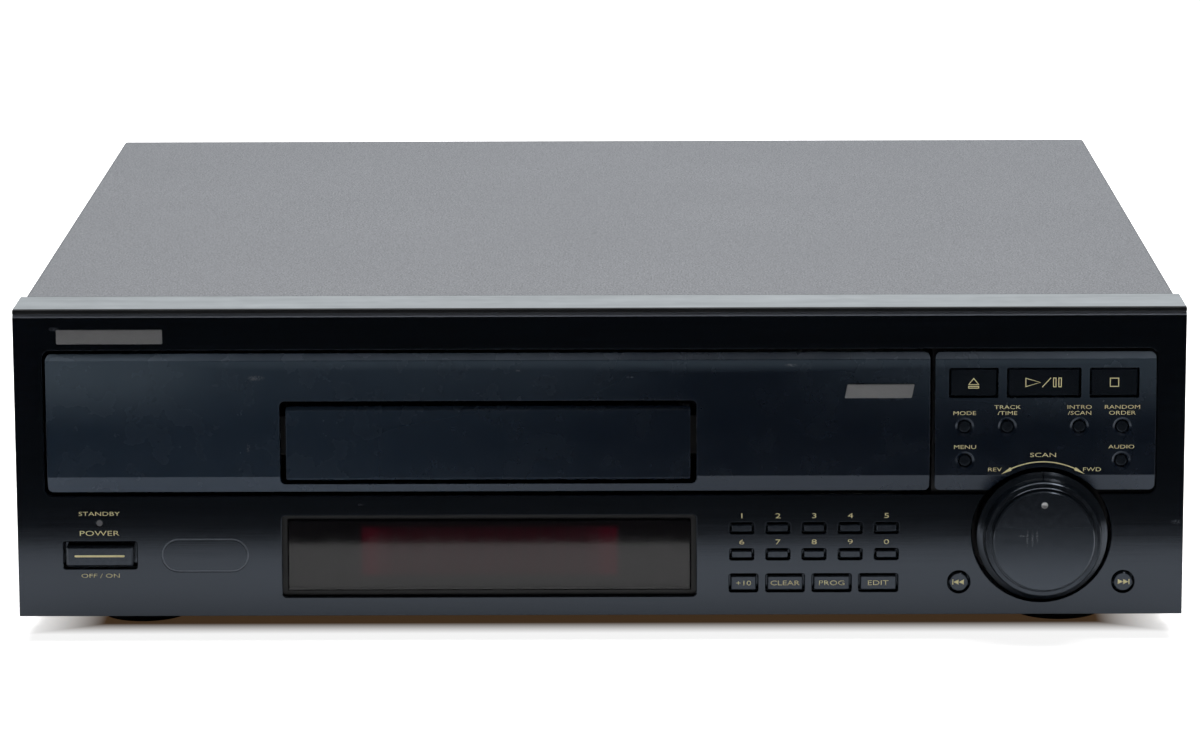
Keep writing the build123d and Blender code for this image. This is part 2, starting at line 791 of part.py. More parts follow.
# ---- Doors ----
with BuildPart() as ld_door:
    with BuildSketch(side_plane(large_door_area.left)):
        with BuildLine():
            Polyline(*door_points(large_door_area, door_back, door_bevel, ridge_points), close=True)
        make_face()
    extrude(amount=large_door_area.width)
    with BuildSketch(panel_plane(door_back)):
        draw(large_door_area, door_corner)
    extrude(amount=door_back + door_proud, mode=Mode.INTERSECT)
    with BuildSketch(panel_plane(door_back)):
        draw(small_bay, door_corner)
    extrude(amount=door_back + door_proud, mode=Mode.SUBTRACT)
finish(ld_door, "ld_door")

small_face = small_door_area.bottom + small_door_bevel / 2
foot_points = [
    (face_depth(small_face) + small_door_bevel / 2, small_door_area.bottom),
    (face_depth(small_face), small_face),
]
small_door_points = door_points(small_door_area, small_door_back, small_door_bevel, foot_points)
with BuildPart() as cd_door:
    with BuildSketch(side_plane(small_door_area.left)):
        with BuildLine():
            Polyline(*small_door_points, close=True)
        make_face()
    extrude(amount=small_door_area.width)
    with BuildSketch(panel_plane(small_door_back)):
        draw(small_door_area, small_door_corner)
    extrude(amount=small_door_back + door_proud + door_bevel, mode=Mode.INTERSECT)
finish(cd_door, "cd_door")

# ---- Large tray ----
tray_front = front_y + door_back
tray_rear = tray_front + tray_length
arm_rear = tray_front + tray_arm_length
pocket_top = large_seat - tray_plate
pocket_inner = channel_half + small_tongue + slide_gap + 3.0
small_tray_front = front_y + small_door_back
small_tray_rear = small_tray_front + small_tray_length
channel_end = small_tray_rear + 4.0
small_tongue_z = small_tray_z + (small_tray_thickness - small_tongue_thickness) / 2 - 1.5
loading_gear_y = front_y + loading_gear_depth
rack_root_x = disc_x + tray_half - tray_rim
rack_top = tray_z + 6.0
rack_end_margin = 8.0

with BuildPart() as ld_tray:
    span_box((disc_x - tray_half, disc_x + tray_half), (tray_front, tray_rear), (tray_z, tray_top))
    for side in (-1, 1):
        edge = disc_x + side * tray_half
        span_box((edge - side * tray_arm_width, edge), (tray_front, arm_rear), (tray_z, tray_top))
    upright(disc_x, disc_y, (large_seat, tray_top), large_radius, mode=Mode.SUBTRACT)
    # The channel that the small tray runs in, with a groove along each side.
    channel_z = tray_z + channel_floor
    span_box(
        (disc_x - channel_half, disc_x + channel_half),
        (tray_front, channel_end),
        (channel_z, tray_top),
        mode=Mode.SUBTRACT,
    )
    groove_half = channel_half + small_tongue + slide_gap
    span_box(
        (disc_x - groove_half, disc_x + groove_half),
        (tray_front, channel_end),
        (small_tongue_z - slide_gap, small_tongue_z + small_tongue_thickness + slide_gap),
        mode=Mode.SUBTRACT,
    )
    for side in (-1, 1):
        # The underside is hollow on both sides of the channel, and open at the rear.
        span_box(
            (disc_x + side * pocket_inner, disc_x + side * (tray_half - tray_rim)),
            (tray_front + tray_rim, arm_rear),
            (tray_z, pocket_top),
            mode=Mode.SUBTRACT,
        )
        # The tongue that runs in the rail.
        span_box(
            (disc_x + side * tray_half, disc_x + side * (tray_half + tongue)),
            (tray_front + tray_rim, arm_rear),
            (tray_z + tongue_rise, tray_z + tongue_rise + tongue_thickness),
        )
    # The slot for the turntable and the pickup, open at the rear.
    upright(disc_x, disc_y, (tray_z, tray_top), slot_half, mode=Mode.SUBTRACT)
    span_box(
        (disc_x - slot_half, disc_x + slot_half),
        (disc_y, tray_rear),
        (tray_z, tray_top),
        mode=Mode.SUBTRACT,
    )
    # The rack that the loading gear drives.
    extrude_outline(
        rack_points(
            rack_root_x,
            -1,
            loading_gear_y,
            tray_front + tray_rim,
            loading_gear_y + tray_travel + rack_end_margin,
            tray_rim / 2,
        ),
        tray_z,
        rack_top,
    )
finish(ld_tray, "ld_tray")

# ---- Small tray ----
small_half = channel_half - slide_gap
with BuildPart() as cd_tray:
    span_box(
        (disc_x - small_half, disc_x + small_half),
        (small_tray_front, small_tray_rear),
        (small_tray_z, small_tray_top),
    )
    upright(disc_x, disc_y, (small_seat, small_tray_top), small_radius, mode=Mode.SUBTRACT)
    upright(disc_x, disc_y, (small_seat - mini_recess, small_tray_top), mini_radius, mode=Mode.SUBTRACT)
    upright(disc_x, disc_y, (small_tray_z, small_tray_top), slot_half, mode=Mode.SUBTRACT)
    span_box(
        (disc_x - slot_half, disc_x + slot_half),
        (disc_y, small_tray_rear),
        (small_tray_z, small_tray_top),
        mode=Mode.SUBTRACT,
    )
    # Hollow underside ahead of the disc.
    span_box(
        (disc_x - small_half + tray_rim, disc_x + small_half - tray_rim),
        (small_tray_front + tray_rim, disc_y - small_radius),
        (small_tray_z, small_tray_top - tray_plate),
        mode=Mode.SUBTRACT,
    )
    for side in (-1, 1):
        span_box(
            (disc_x + side * small_half, disc_x + side * (channel_half + small_tongue)),
            (tray_front + tray_rim, small_tray_rear),
            (small_tongue_z, small_tongue_z + small_tongue_thickness),
        )
finish(cd_tray, "cd_tray")

# ---- Disc mechanism ----
base_z = tray_z - base_drop
base_top = base_z + base_plate
rod_z = base_top + rod_rise
turntable_top = small_seat - turntable_drop
turntable_z = turntable_top - turntable_thickness
motor_neck_top = turntable_z - 3.0
shaft_top = turntable_top + hub_top
lens_y = disc_y + lens_start
pickup_front = lens_y - pickup_nose
pickup_rear = pickup_front + pickup_length
rod_front = pickup_front - 3.0 - rod_post
rod_rear = pickup_rear + pickup_travel + 3.0 + rod_post
sled_radius = module * sled_teeth / 2
bar_outer = disc_x + rod_out + 8.0       # root line of the pickup's rack
sled_gear_x = bar_outer + tooth_root + sled_radius
post_places = [
    (disc_x + side * post_out, y)
    for side in (-1, 1)
    for y in (base_front + post_inset, base_rear - post_inset)
]

with BuildPart() as mechanism_base:
    span_box((disc_x - base_half, disc_x + base_half), (base_front, base_rear), (base_z, base_top))
    for side in (-1, 1):
        rim = disc_x + side * base_half
        span_box((rim - side * base_plate, rim), (base_front, base_rear), (base_top, base_top + base_rib))
        for y in (rod_front, rod_rear - rod_post):
            post = disc_x + side * rod_out
            span_box(
                (post - rod_post / 2, post + rod_post / 2),
                (y, y + rod_post),
                (base_top, rod_z + rod_post / 2),
            )
        with BuildSketch(Plane.XZ):
            with Locations((disc_x + side * rod_out, rod_z)):
                Circle(rod_radius + 0.02)
        extrude(amount=width, both=True, mode=Mode.SUBTRACT)
    upright(disc_x, disc_y, (base_z, base_top), motor_neck_radius + seam, mode=Mode.SUBTRACT)
    upright(sled_gear_x, sled_gear_y, (base_z, base_top), sled_bearing_radius, mode=Mode.SUBTRACT)
    span_box(
        (disc_x - pickup_opening_half, disc_x + pickup_opening_half),
        (pickup_front + pickup_opening_start, rod_rear - rod_post),
        (base_z, base_top),
        mode=Mode.SUBTRACT,
    )
    for x, y in post_places:
        upright(x, y, (base_z, base_top), post_pin_radius + running, mode=Mode.SUBTRACT)
finish(mechanism_base, "mechanism_base")

with BuildPart() as mechanism_motors:
    # Spindle motor, with a neck up through the base plate.
    upright(disc_x, disc_y, (base_z - motor_height, base_z), motor_radius)
    upright(disc_x, disc_y, (base_z, motor_neck_top), motor_neck_radius)
    upright(disc_x, disc_y, (motor_neck_top, shaft_top), motor_shaft_radius)
    # Sled motor, its shaft up to the sled gear.
    upright(sled_gear_x, sled_gear_y, (base_z - sled_motor_height, base_z), sled_motor_radius)
    upright(sled_gear_x, sled_gear_y, (base_z, base_top + base_rib + 0.5), sled_shaft_radius)
finish(mechanism_motors, "mechanism_motors")

with BuildPart() as guide_rods:
    for side in (-1, 1):
        with BuildSketch(Plane.XZ.offset(-rod_front)):
            with Locations((disc_x + side * rod_out, rod_z)):
                Circle(rod_radius)
        extrude(amount=rod_front - rod_rear)
finish(guide_rods, "guide_rods")

with BuildPart() as turntable:
    with BuildSketch(Plane((disc_x, disc_y, 0), x_dir=(1, 0, 0), z_dir=(0, -1, 0))):
        with BuildLine():
            Polyline(
                (motor_shaft_radius + running, motor_neck_top + seam),
                (hub_radius, motor_neck_top + seam),
                (hub_radius, turntable_z),
                (turntable_radius, turntable_z),
                (turntable_radius, turntable_top - turntable_edge),
                (turntable_radius - turntable_edge, turntable_top),
                (spindle_radius + 2.0, turntable_top),
                (spindle_radius + spindle_moat, turntable_top - spindle_moat_depth),
                (spindle_radius, turntable_top - spindle_moat_depth),
                (spindle_radius, turntable_top + spindle_straight),
                (spindle_radius - spindle_taper, turntable_top + spindle_height),
                (0, turntable_top + spindle_height),
                (0, shaft_top + running),
                (motor_shaft_radius + running, shaft_top + running),
                close=True,
            )
        make_face()
    revolve(axis=Axis((disc_x, disc_y, 0), (0, 0, 1)))
finish(turntable, "turntable")

pickup_z = base_top + 0.6
pickup_top = turntable_z - 3.0
actuator_z = pickup_top - actuator_height
lens_z = turntable_top - lens_drop
lug_top = rod_z + rod_radius + lug_wall
rack_front = sled_gear_y - pickup_travel - rack_end_margin
rack_rear = sled_gear_y + rack_end_margin
rack_z = base_top + 1.5
rack_thickness = 4.0
rack_backing = 2.5
with BuildPart() as pickup:
    span_box(
        (disc_x - pickup_half, disc_x + pickup_half),
        (pickup_front, pickup_rear),
        (pickup_z, actuator_z),
    )
    # The optics hang through the base plate's opening.
    span_box(
        (disc_x - pickup_half + optics_inset, disc_x + pickup_half - optics_inset),
        (pickup_front + optics_front, pickup_rear - optics_rear),
        (base_z - optics_depth, pickup_z),
    )
    # Actuator cover, lens holder and lens.
    span_box(
        (disc_x - actuator_half, disc_x + actuator_half),
        (pickup_front, lens_y + actuator_rear),
        (actuator_z, pickup_top),
    )
    upright(disc_x, lens_y, (pickup_top, lens_z), lens_holder_radius)
    with Locations((disc_x, lens_y, lens_z)):
        Sphere(lens_radius_up)
    for side in (-1, 1):
        for lug_y in (pickup_front + 1.0, pickup_rear - lug_length - 1.0):
            span_box(
                (disc_x + side * pickup_half, disc_x + side * (rod_out + lug_width)),
                (lug_y, lug_y + lug_length),
                (pickup_z, lug_top),
            )
        with BuildSketch(Plane.XZ):
            with Locations((disc_x + side * rod_out, rod_z)):
                Circle(rod_radius + running)
        extrude(amount=width, both=True, mode=Mode.SUBTRACT)
    # The rack that the sled gear drives.
    extrude_outline(
        rack_points(bar_outer, 1, sled_gear_y, rack_front, rack_rear, rack_backing),
        rack_z,
        rack_z + rack_thickness,
    )
finish(pickup, "pickup")

with BuildPart() as sled_gear:
    gear_z = (rack_z - 0.2, rack_z + rack_thickness + 0.2)
    extrude_outline(gear_points(sled_teeth, sled_gear_x, sled_gear_y), *gear_z)
    upright(sled_gear_x, sled_gear_y, gear_z, sled_shaft_radius + running, mode=Mode.SUBTRACT)
finish(sled_gear, "sled_gear")

# ---- Loading frame and tray drive ----
rail_inner = tray_half + rail_gap
rail_outer = rail_inner + rail_width
rail_z = tray_z - rail_below
rail_top = tray_top - rail_above
rail_front = front_y + rail_front_depth
shelf_top = tray_z - shelf_drop
loading_radius = module * loading_teeth / 2
loading_gear_x = rack_root_x - tooth_root - loading_radius
pulley_z = shelf_top + 4.0
belt_z = pulley_z + (pulley_height - belt) / 2

with BuildPart() as loading_frame:
    for side in (-1, 1):
        span_box(
            (disc_x + side * rail_inner, disc_x + side * rail_outer),
            (rail_front, rail_end),
            (rail_z, rail_top),
        )
        span_box(
            (disc_x + side * rail_inner, disc_x + side * (tray_half + tongue + slide_gap)),
            (rail_front, rail_end),
            (tray_z + tongue_rise - slide_gap, tray_z + tongue_rise + tongue_thickness + slide_gap),
            mode=Mode.SUBTRACT,
        )
        span_box(
            (disc_x + side * (rail_outer - side_wall), disc_x + side * rail_outer),
            (front_y + side_wall_start, rail_end),
            (floor_z, rail_z),
        )
    for x, y in post_places:
        upright(x, y, (floor_z, base_z - seam), post_radius)
        upright(x, y, (base_z - seam, base_top + lift + 2.0), post_pin_radius)
    for y in (base_front + post_inset, base_rear - post_inset):
        span_box(
            (disc_x - rail_outer, disc_x + rail_outer),
            (y - cross_width / 2, y + cross_width / 2),
            (floor_z, floor_z + cross_height),
        )
    # The shelf for the loading motor and the gear's axle.
    span_box(
        (loading_motor_x - loading_motor_radius, disc_x + rail_outer),
        (loading_gear_y - shelf_half, loading_gear_y + shelf_half),
        (shelf_top - shelf_thickness, shelf_top),
    )
    upright(loading_gear_x, loading_gear_y, (shelf_top, pocket_top - 0.6), axle_radius)
    upright(
        loading_motor_x,
        loading_gear_y,
        (shelf_top - shelf_thickness, shelf_top),
        3.0,
        mode=Mode.SUBTRACT,
    )
finish(loading_frame, "loading_frame")

with BuildPart() as loading_motor:
    can_top = shelf_top - shelf_thickness
    can_span = (can_top - loading_motor_height, can_top)
    upright(loading_motor_x, loading_gear_y, can_span, loading_motor_radius)
    upright(loading_motor_x, loading_gear_y, (can_top, pulley_z + pulley_height), sled_shaft_radius)
finish(loading_motor, "loading_motor")


def pulley(x, groove_radius, rim, bore):
    """A pulley with one square groove, around an upright axis."""
    upright(x, loading_gear_y, (pulley_z, pulley_z + pulley_height), groove_radius + rim)
    upright(
        x,
        loading_gear_y,
        (belt_z - belt_gap, belt_z + belt + belt_gap),
        groove_radius + rim + 1,
        mode=Mode.SUBTRACT,
    )
    upright(x, loading_gear_y, (pulley_z, pulley_z + pulley_height), groove_radius)
    upright(x, loading_gear_y, (pulley_z, pulley_z + pulley_height), bore, mode=Mode.SUBTRACT)


with BuildPart() as loading_gear:
    pulley(loading_gear_x, pulley_groove_radius, pulley_rim, axle_radius + running)
    with BuildSketch(Plane.XY.offset(pulley_z + pulley_height)):
        with Locations((loading_gear_x, loading_gear_y)):
            Circle(gear_neck_radius)
            Circle(axle_radius + running, mode=Mode.SUBTRACT)
    extrude(amount=tray_z + gear_room - pulley_z - pulley_height)
    gear_z = (tray_z + gear_room, pocket_top - gear_room)
    extrude_outline(gear_points(loading_teeth, loading_gear_x, loading_gear_y), *gear_z)
    upright(loading_gear_x, loading_gear_y, gear_z, axle_radius + running, mode=Mode.SUBTRACT)
finish(loading_gear, "loading_gear")

with BuildPart() as motor_pulley:
    pulley(
        loading_motor_x, motor_pulley_groove_radius, motor_pulley_rim, sled_shaft_radius + running
    )
finish(motor_pulley, "motor_pulley")

with BuildPart() as drive_belt:
    for grow, mode in ((belt_gap + belt, Mode.ADD), (belt_gap, Mode.SUBTRACT)):
        with BuildSketch(Plane.XY.offset(belt_z)):
            with Locations((loading_gear_x, loading_gear_y)):
                Circle(pulley_groove_radius + grow)
            with Locations((loading_motor_x, loading_gear_y)):
                Circle(motor_pulley_groove_radius + grow)
            make_hull()
        extrude(amount=belt, mode=mode)
finish(drive_belt, "drive_belt")

# ---- Clamper and its bridge ----
bridge_top = tray_top + bridge_rise
clamper_z = turntable_top + lift + clamper_clear
cap_z = bridge_top + seam

with BuildPart() as clamper_bridge:
    leg = rail_outer - bridge_inset
    for side in (-1, 1):
        x = disc_x + side * leg
        span_box(
            (x, x - side * chassis_sheet),
            (disc_y - bridge_half, disc_y + bridge_half),
            (rail_top, bridge_top),
        )
        span_box(
            (disc_x + side * (rail_inner + 0.5), x),
            (disc_y - bridge_half, disc_y + bridge_half),
            (rail_top, rail_top + chassis_sheet),
        )
    span_box(
        (disc_x - leg, disc_x + leg),
        (disc_y - bridge_half, disc_y + bridge_half),
        (bridge_top - chassis_sheet, bridge_top),
    )
    bridge_sheet = (bridge_top - chassis_sheet, bridge_top)
    upright(disc_x, disc_y, bridge_sheet, bridge_hole_radius, mode=Mode.SUBTRACT)
    # Stiffening ribs.
    for side in (-1, 1):
        for y in (disc_y - bridge_half + bridge_rib_inset, disc_y + bridge_half - bridge_rib_inset):
            span_box(
                (
                    disc_x + side * (clamper_cap_radius + bridge_rib_inset),
                    disc_x + side * (leg - bridge_rib_inset),
                ),
                (y - bridge_rib_width / 2, y + bridge_rib_width / 2),
                (bridge_top, bridge_top + bridge_rib_height),
            )
finish(clamper_bridge, "clamper_bridge")

with BuildPart() as clamper:
    pad_top, clamper_top = clamper_z + clamper_pad, cap_z + clamper_cap
    recess_span = (clamper_z, clamper_z + clamper_recess)
    well_radius = clamper_neck_radius - clamper_wall
    upright(disc_x, disc_y, (clamper_z, pad_top), clamper_radius)
    upright(disc_x, disc_y, (pad_top, cap_z), clamper_neck_radius)
    upright(disc_x, disc_y, (cap_z, clamper_top), clamper_cap_radius)
    upright(disc_x, disc_y, recess_span, clamper_recess_radius, mode=Mode.SUBTRACT)
    upright(disc_x, disc_y, (cap_z - clamper_well, clamper_top), well_radius, mode=Mode.SUBTRACT)
finish(clamper, "clamper")

# ---- Sockets on the rear ----
rca_places = [(x, z) for x in rca_columns for z in rca_rows]
mini_places = [(mini_x, z) for z in rca_rows]
rca_end = rear_y + jack_reach
rca_start = rca_end - rca_length
mini_end = rear_y + mini_proud
scart_end = rear_y + scart_proud


def along_rear(x, z, start, end, radius, mode=Mode.ADD):
    """A cylinder along Y between two places behind the player."""
    with BuildSketch(rear_plane(start)) as circle:
        with Locations((-x, z)):
            Circle(radius)
    extrude(circle.sketch, amount=end - start, mode=mode)


with BuildPart() as rear_sockets:
    for x in rca_columns:
        span_box(
            (x - (rca_pitch - rca_block_gap) / 2, x + (rca_pitch - rca_block_gap) / 2),
            (rear_inside - rca_block_depth, rear_inside),
            (rca_rows[0] - rca_pitch / 2, rca_rows[-1] + rca_pitch / 2),
        )
    for x, z in rca_places:
        along_rear(x, z, rear_inside, rear_face + rca_collar_proud, rca_collar_radius)
        along_rear(x, z, rear_inside, rca_start, rca_neck_radius)
        along_rear(x, z, rca_start, rca_end, rca_radius)
        with BuildSketch(rear_plane(rca_end)):
            with Locations((-x, z)):
                Circle(rca_core_radius)
                Circle(rca_core_radius - rca_shell, mode=Mode.SUBTRACT)
                Circle(rca_pin_radius)
        extrude(amount=-rca_socket_depth, mode=Mode.SUBTRACT)
    for x, z in mini_places:
        span_box(
            (x - mini_block_width / 2, x + mini_block_width / 2),
            (rear_inside - mini_depth, rear_inside),
            (z - mini_block_height / 2, z + mini_block_height / 2),
        )
        along_rear(x, z, rear_inside, mini_end, mini_radius_outer)
        along_rear(x, z, mini_end, mini_end - mini_depth, mini_radius_inner, mode=Mode.SUBTRACT)
    for z in scart_rows:
        with BuildSketch(rear_plane(rear_inside - scart_depth)):
            with Locations((-scart_x, z)):
                RectangleRounded(scart_width, scart_height, scart_corner)
        extrude(amount=scart_end - rear_inside + scart_depth)
        ring, core = scart_wall, scart_wall + scart_ring
        with BuildSketch(rear_plane(scart_end)):
            with Locations((-scart_x, z)):
                RectangleRounded(scart_width - 2 * ring, scart_height - 2 * ring, scart_corner)
                RectangleRounded(
                    scart_width - 2 * core, scart_height - 2 * core, scart_corner / 2, mode=Mode.SUBTRACT
                )
        extrude(amount=-scart_cavity, mode=Mode.SUBTRACT)
finish(rear_sockets, "rear_sockets")

inlet_z = foot_height + inlet_height
with BuildPart() as ac_inlet:
    with BuildSketch(rear_plane(rear_inside - inlet_depth)):
        with Locations((-inlet_x, inlet_z)):
            RectangleRounded(inlet_width, inlet_tall, inlet_corner)
    extrude(amount=inlet_depth + rear_face - rear_inside)
    with BuildSketch(rear_plane(rear_face)):
        with Locations((-inlet_x, inlet_z)):
            RectangleRounded(inlet_width + 2 * inlet_rim, inlet_tall + 2 * inlet_rim, inlet_corner + 0.5)
    extrude(amount=inlet_proud)
    with BuildSketch(rear_plane(rear_face + inlet_proud)):
        with Locations((-inlet_x, inlet_z)):
            SlotOverall(inlet_pin_pitch + inlet_well_height, inlet_well_height)
    extrude(amount=-inlet_well - inlet_proud, mode=Mode.SUBTRACT)
    for side in (-1, 1):
        pin_x = inlet_x + side * inlet_pin_pitch / 2
        along_rear(pin_x, inlet_z, rear_face - inlet_well, rear_face - inlet_pin_short, inlet_pin_radius)
finish(ac_inlet, "ac_inlet")

# ---- Shells ----
side_screws = [
    (side, y) for side in (-1, 1) for y in (front_y + side_screw_front, rear_y - side_screw_rear)
]
screw_z = floor_z + flange_height / 2
rear_screws = [
    (side * (chassis_half - rear_screw_inset), z)
    for side in (-1, 1)
    for z in (rear_screw_bottom, top_z - rear_screw_top)
]


def along_side(side, y, amount, radius, mode=Mode.ADD):
    """A cylinder at a side screw's place, outwards from the cover's face."""
    with BuildSketch(
        Plane((side * cover_half, y, screw_z), x_dir=(0, 1, 0), z_dir=(side, 0, 0))
    ) as circle:
        Circle(radius)
    extrude(circle.sketch, amount=amount, mode=mode)


with BuildPart() as top_cover:
    cover_bottom = foot_height + cover_bottom_gap
    span_box((-cover_half, cover_half), (frame_back + seam, rear_y), (cover_bottom, top_z))
    fillet(top_cover.edges().filter_by(Axis.Y).group_by(Axis.Z)[-1], radius=cover_corner)
    inner = cover_half - cover_sheet
    span_box(
        (-inner, inner),
        (frame_back + seam, rear_y),
        (cover_bottom, top_z - cover_sheet),
        mode=Mode.SUBTRACT,
    )
    for side, y in side_screws:
        along_side(side, y, -2 * cover_sheet, screw_radius + screw_room, mode=Mode.SUBTRACT)
finish(top_cover, "top_cover")

with BuildPart() as base_chassis:
    span_box((-chassis_half, chassis_half), (frame_back + seam, rear_inside), (foot_height, floor_z))
    for side in (-1, 1):
        edge = side * chassis_half
        span_box(
            (edge - side * chassis_sheet, edge),
            (frame_back + seam, rear_inside),
            (floor_z, floor_z + flange_height),
        )
    span_box(
        (-chassis_half, chassis_half),
        (frame_back + seam, frame_back + seam + chassis_sheet),
        (floor_z, floor_z + flange_height),
    )
    with BuildSketch(Plane.XY.offset(foot_height)):
        for vent_place in base_vents:
            with Locations(vent_place):
                with GridLocations(vent_length + vent_space, vent_pitch, 2, base_vent_rows):
                    SlotOverall(vent_length, vent_width)
    extrude(amount=chassis_sheet, mode=Mode.SUBTRACT)
    for side, y in side_screws:
        along_side(side, y, -screw_length - 1.0, screw_radius + screw_bore, mode=Mode.SUBTRACT)
finish(base_chassis, "base_chassis")

panel_top = top_z - cover_sheet - seam
with BuildPart() as rear_panel:
    span_box((-chassis_half, chassis_half), (rear_inside, rear_face), (foot_height, panel_top))
    with BuildSketch(rear_plane(rear_face)):
        for x, z in rca_places:
            with Locations((-x, z)):
                Circle(rca_collar_radius + seam)
        for x, z in mini_places:
            with Locations((-x, z)):
                Circle(mini_radius_outer + seam)
        for z in scart_rows:
            with Locations((-scart_x, z)):
                RectangleRounded(scart_width + 2 * seam, scart_height + 2 * seam, scart_corner)
        with Locations((-inlet_x, inlet_z)):
            RectangleRounded(inlet_width + 2 * seam, inlet_tall + 2 * seam, inlet_corner)
        for x, z in rear_screws:
            with Locations((-x, z)):
                Circle(screw_radius + screw_bore)
        with Locations((-rear_vent_place[0], rear_vent_place[1])):
            with GridLocations(vent_length + vent_space, vent_pitch, 3, rear_vent_rows):
                SlotOverall(vent_length, vent_width)
    extrude(amount=-chassis_sheet, mode=Mode.SUBTRACT)
finish(rear_panel, "rear_panel")

foot_places = [
    (side * (width / 2 - foot_inset), y)
    for side in (-1, 1)
    for y in (front_y + foot_front, rear_y - foot_rear)
]
with BuildPart() as feet:
    for x, y in foot_places:
        with Locations((x, y, 0)):
            Cone(
                foot_radius - foot_taper,
                foot_radius,
                foot_height,
                align=(Align.CENTER, Align.CENTER, Align.MIN),
            )
        upright(x, y, (0, foot_recess), foot_recess_radius, mode=Mode.SUBTRACT)
finish(feet, "feet")

with BuildPart() as cover_screws:
    for side, y in side_screws:
        along_side(side, y, side_screw_head, screw_head_radius)
        along_side(side, y, -screw_length, screw_radius)
    for x, z in rear_screws:
        along_rear(x, z, rear_face, rear_face + screw_head, screw_head_radius)
        along_rear(x, z, rear_face, rear_face - screw_length, screw_radius)
finish(cover_screws, "cover_screws")

# ---- Main board and power supply ----
board_z = floor_z + 6.3
standoff_radius = 3.5


def circuit_board(x_span, y_span, inset, parts):
    """A board on four standoffs, with separate components standing on it."""
    span_box(x_span, y_span, (board_z, board_z + board))
    for x in (x_span[0] + inset, x_span[1] - inset):
        for y in (y_span[0] + inset, y_span[1] - inset):
            upright(x, y, (floor_z, board_z), standoff_radius)
    for x, y, x_size, y_size, tall in parts:
        low = board_z + board + solder_gap
        span_box((x - x_size / 2, x + x_size / 2), (y - y_size / 2, y + y_size / 2), (low, low + tall))


with BuildPart() as main_board:
    circuit_board(
        (-190.0, 108.0),
        (base_front + post_inset + cross_width / 2 + 4.0, rear_inside - 3.0),
        6.0,
        [
            (-150.0, 20.0, 30.0, 30.0, 3.0),
            (-100.0, 20.0, 22.0, 22.0, 3.0),
            (-150.0, 75.0, 40.0, 18.0, 4.0),
            (-100.0, 75.0, 28.0, 10.0, 4.0),
            (-60.0, 20.0, 30.0, 12.0, 4.0),
            (-20.0, 100.0, 24.0, 24.0, 3.0),
            (70.0, 20.0, 20.0, 20.0, 3.0),
            (70.0, 90.0, 36.0, 14.0, 4.0),
            (-150.0, 130.0, 60.0, 8.0, 9.0),
            (60.0, 140.0, 40.0, 8.0, 9.0),
        ],
    )
    for x, y in post_places:
        upright(x, y, (board_z, board_z + board), post_radius + 1.0, mode=Mode.SUBTRACT)
finish(main_board, "main_board")

supply_left = disc_x + rail_outer + 8.0
supply_right = chassis_half - 4.0
supply_x = (supply_left + supply_right) / 2
with BuildPart() as power_supply:
    circuit_board(
        (supply_left, supply_right),
        (-70.0, rear_inside - 32.0),
        6.0,
        [
            (supply_x, 10.0, 58.0, 50.0, 46.0),
            (supply_x, 60.0, 40.0, 4.0, 40.0),
            (supply_x + 12.0, 140.0, 20.0, 24.0, 16.0),
        ],
    )
    for x, y, radius, tall in (
        (supply_x - 16.0, 90.0, 12.0, 35.0),
        (supply_x + 14.0, 90.0, 12.0, 35.0),
        (supply_x - 18.0, 125.0, 8.0, 25.0),
        (supply_x - 20.0, -45.0, 8.0, 25.0),
        (supply_x + 4.0, -45.0, 8.0, 25.0),
    ):
        low = board_z + board + solder_gap
        upright(x, y, (low, low + tall), radius)
finish(power_supply, "power_supply")

# ---- Write the parts ----
os.makedirs("parts", exist_ok=True)
for piece in pieces:
    export_step(piece, f"parts/{piece.label}.step")
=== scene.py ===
import json
from math import cos, hypot, pi, radians, sin

import bmesh
import bpy
from mathutils import Matrix, Vector


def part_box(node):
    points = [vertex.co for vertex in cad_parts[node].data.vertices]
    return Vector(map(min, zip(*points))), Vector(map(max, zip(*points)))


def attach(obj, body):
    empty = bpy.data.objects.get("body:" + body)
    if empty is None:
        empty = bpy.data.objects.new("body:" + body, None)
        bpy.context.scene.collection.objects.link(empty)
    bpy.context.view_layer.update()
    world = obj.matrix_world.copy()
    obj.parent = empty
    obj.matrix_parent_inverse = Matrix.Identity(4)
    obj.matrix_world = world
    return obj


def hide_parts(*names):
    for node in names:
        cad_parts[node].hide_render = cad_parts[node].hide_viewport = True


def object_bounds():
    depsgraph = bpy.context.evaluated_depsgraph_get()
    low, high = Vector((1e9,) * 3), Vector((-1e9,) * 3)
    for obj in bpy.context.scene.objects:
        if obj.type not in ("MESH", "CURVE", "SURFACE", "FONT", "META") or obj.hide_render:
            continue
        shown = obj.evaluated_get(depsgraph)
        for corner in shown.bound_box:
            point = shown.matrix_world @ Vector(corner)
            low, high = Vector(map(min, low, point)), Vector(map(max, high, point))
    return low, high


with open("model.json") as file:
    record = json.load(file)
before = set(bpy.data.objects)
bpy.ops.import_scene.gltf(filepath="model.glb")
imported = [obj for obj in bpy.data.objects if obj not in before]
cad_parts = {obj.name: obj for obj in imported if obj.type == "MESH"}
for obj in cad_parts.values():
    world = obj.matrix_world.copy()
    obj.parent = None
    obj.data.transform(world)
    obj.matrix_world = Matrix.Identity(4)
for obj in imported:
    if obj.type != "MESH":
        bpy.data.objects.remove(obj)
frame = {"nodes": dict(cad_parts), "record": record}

# Looks of a front-loading disc player. Metres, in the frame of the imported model: +Z is up and the
# front faces -Y. Places on the front panel are given as x and height in millimetres, the height
# from the panel's bottom edge, and are carried onto the model's own surfaces.

mm = 0.001
cad_low, cad_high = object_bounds()
nodes = frame["nodes"]
mounts = frame["record"]["mounts"]
bodies = frame["record"]["behaviour"]["bodies"]
body_of_node = {node: body for body, group in bodies.items() for node in group}
fascia_low, fascia_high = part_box("fascia_plate")
front_y, panel_z = fascia_low.y, fascia_low.z

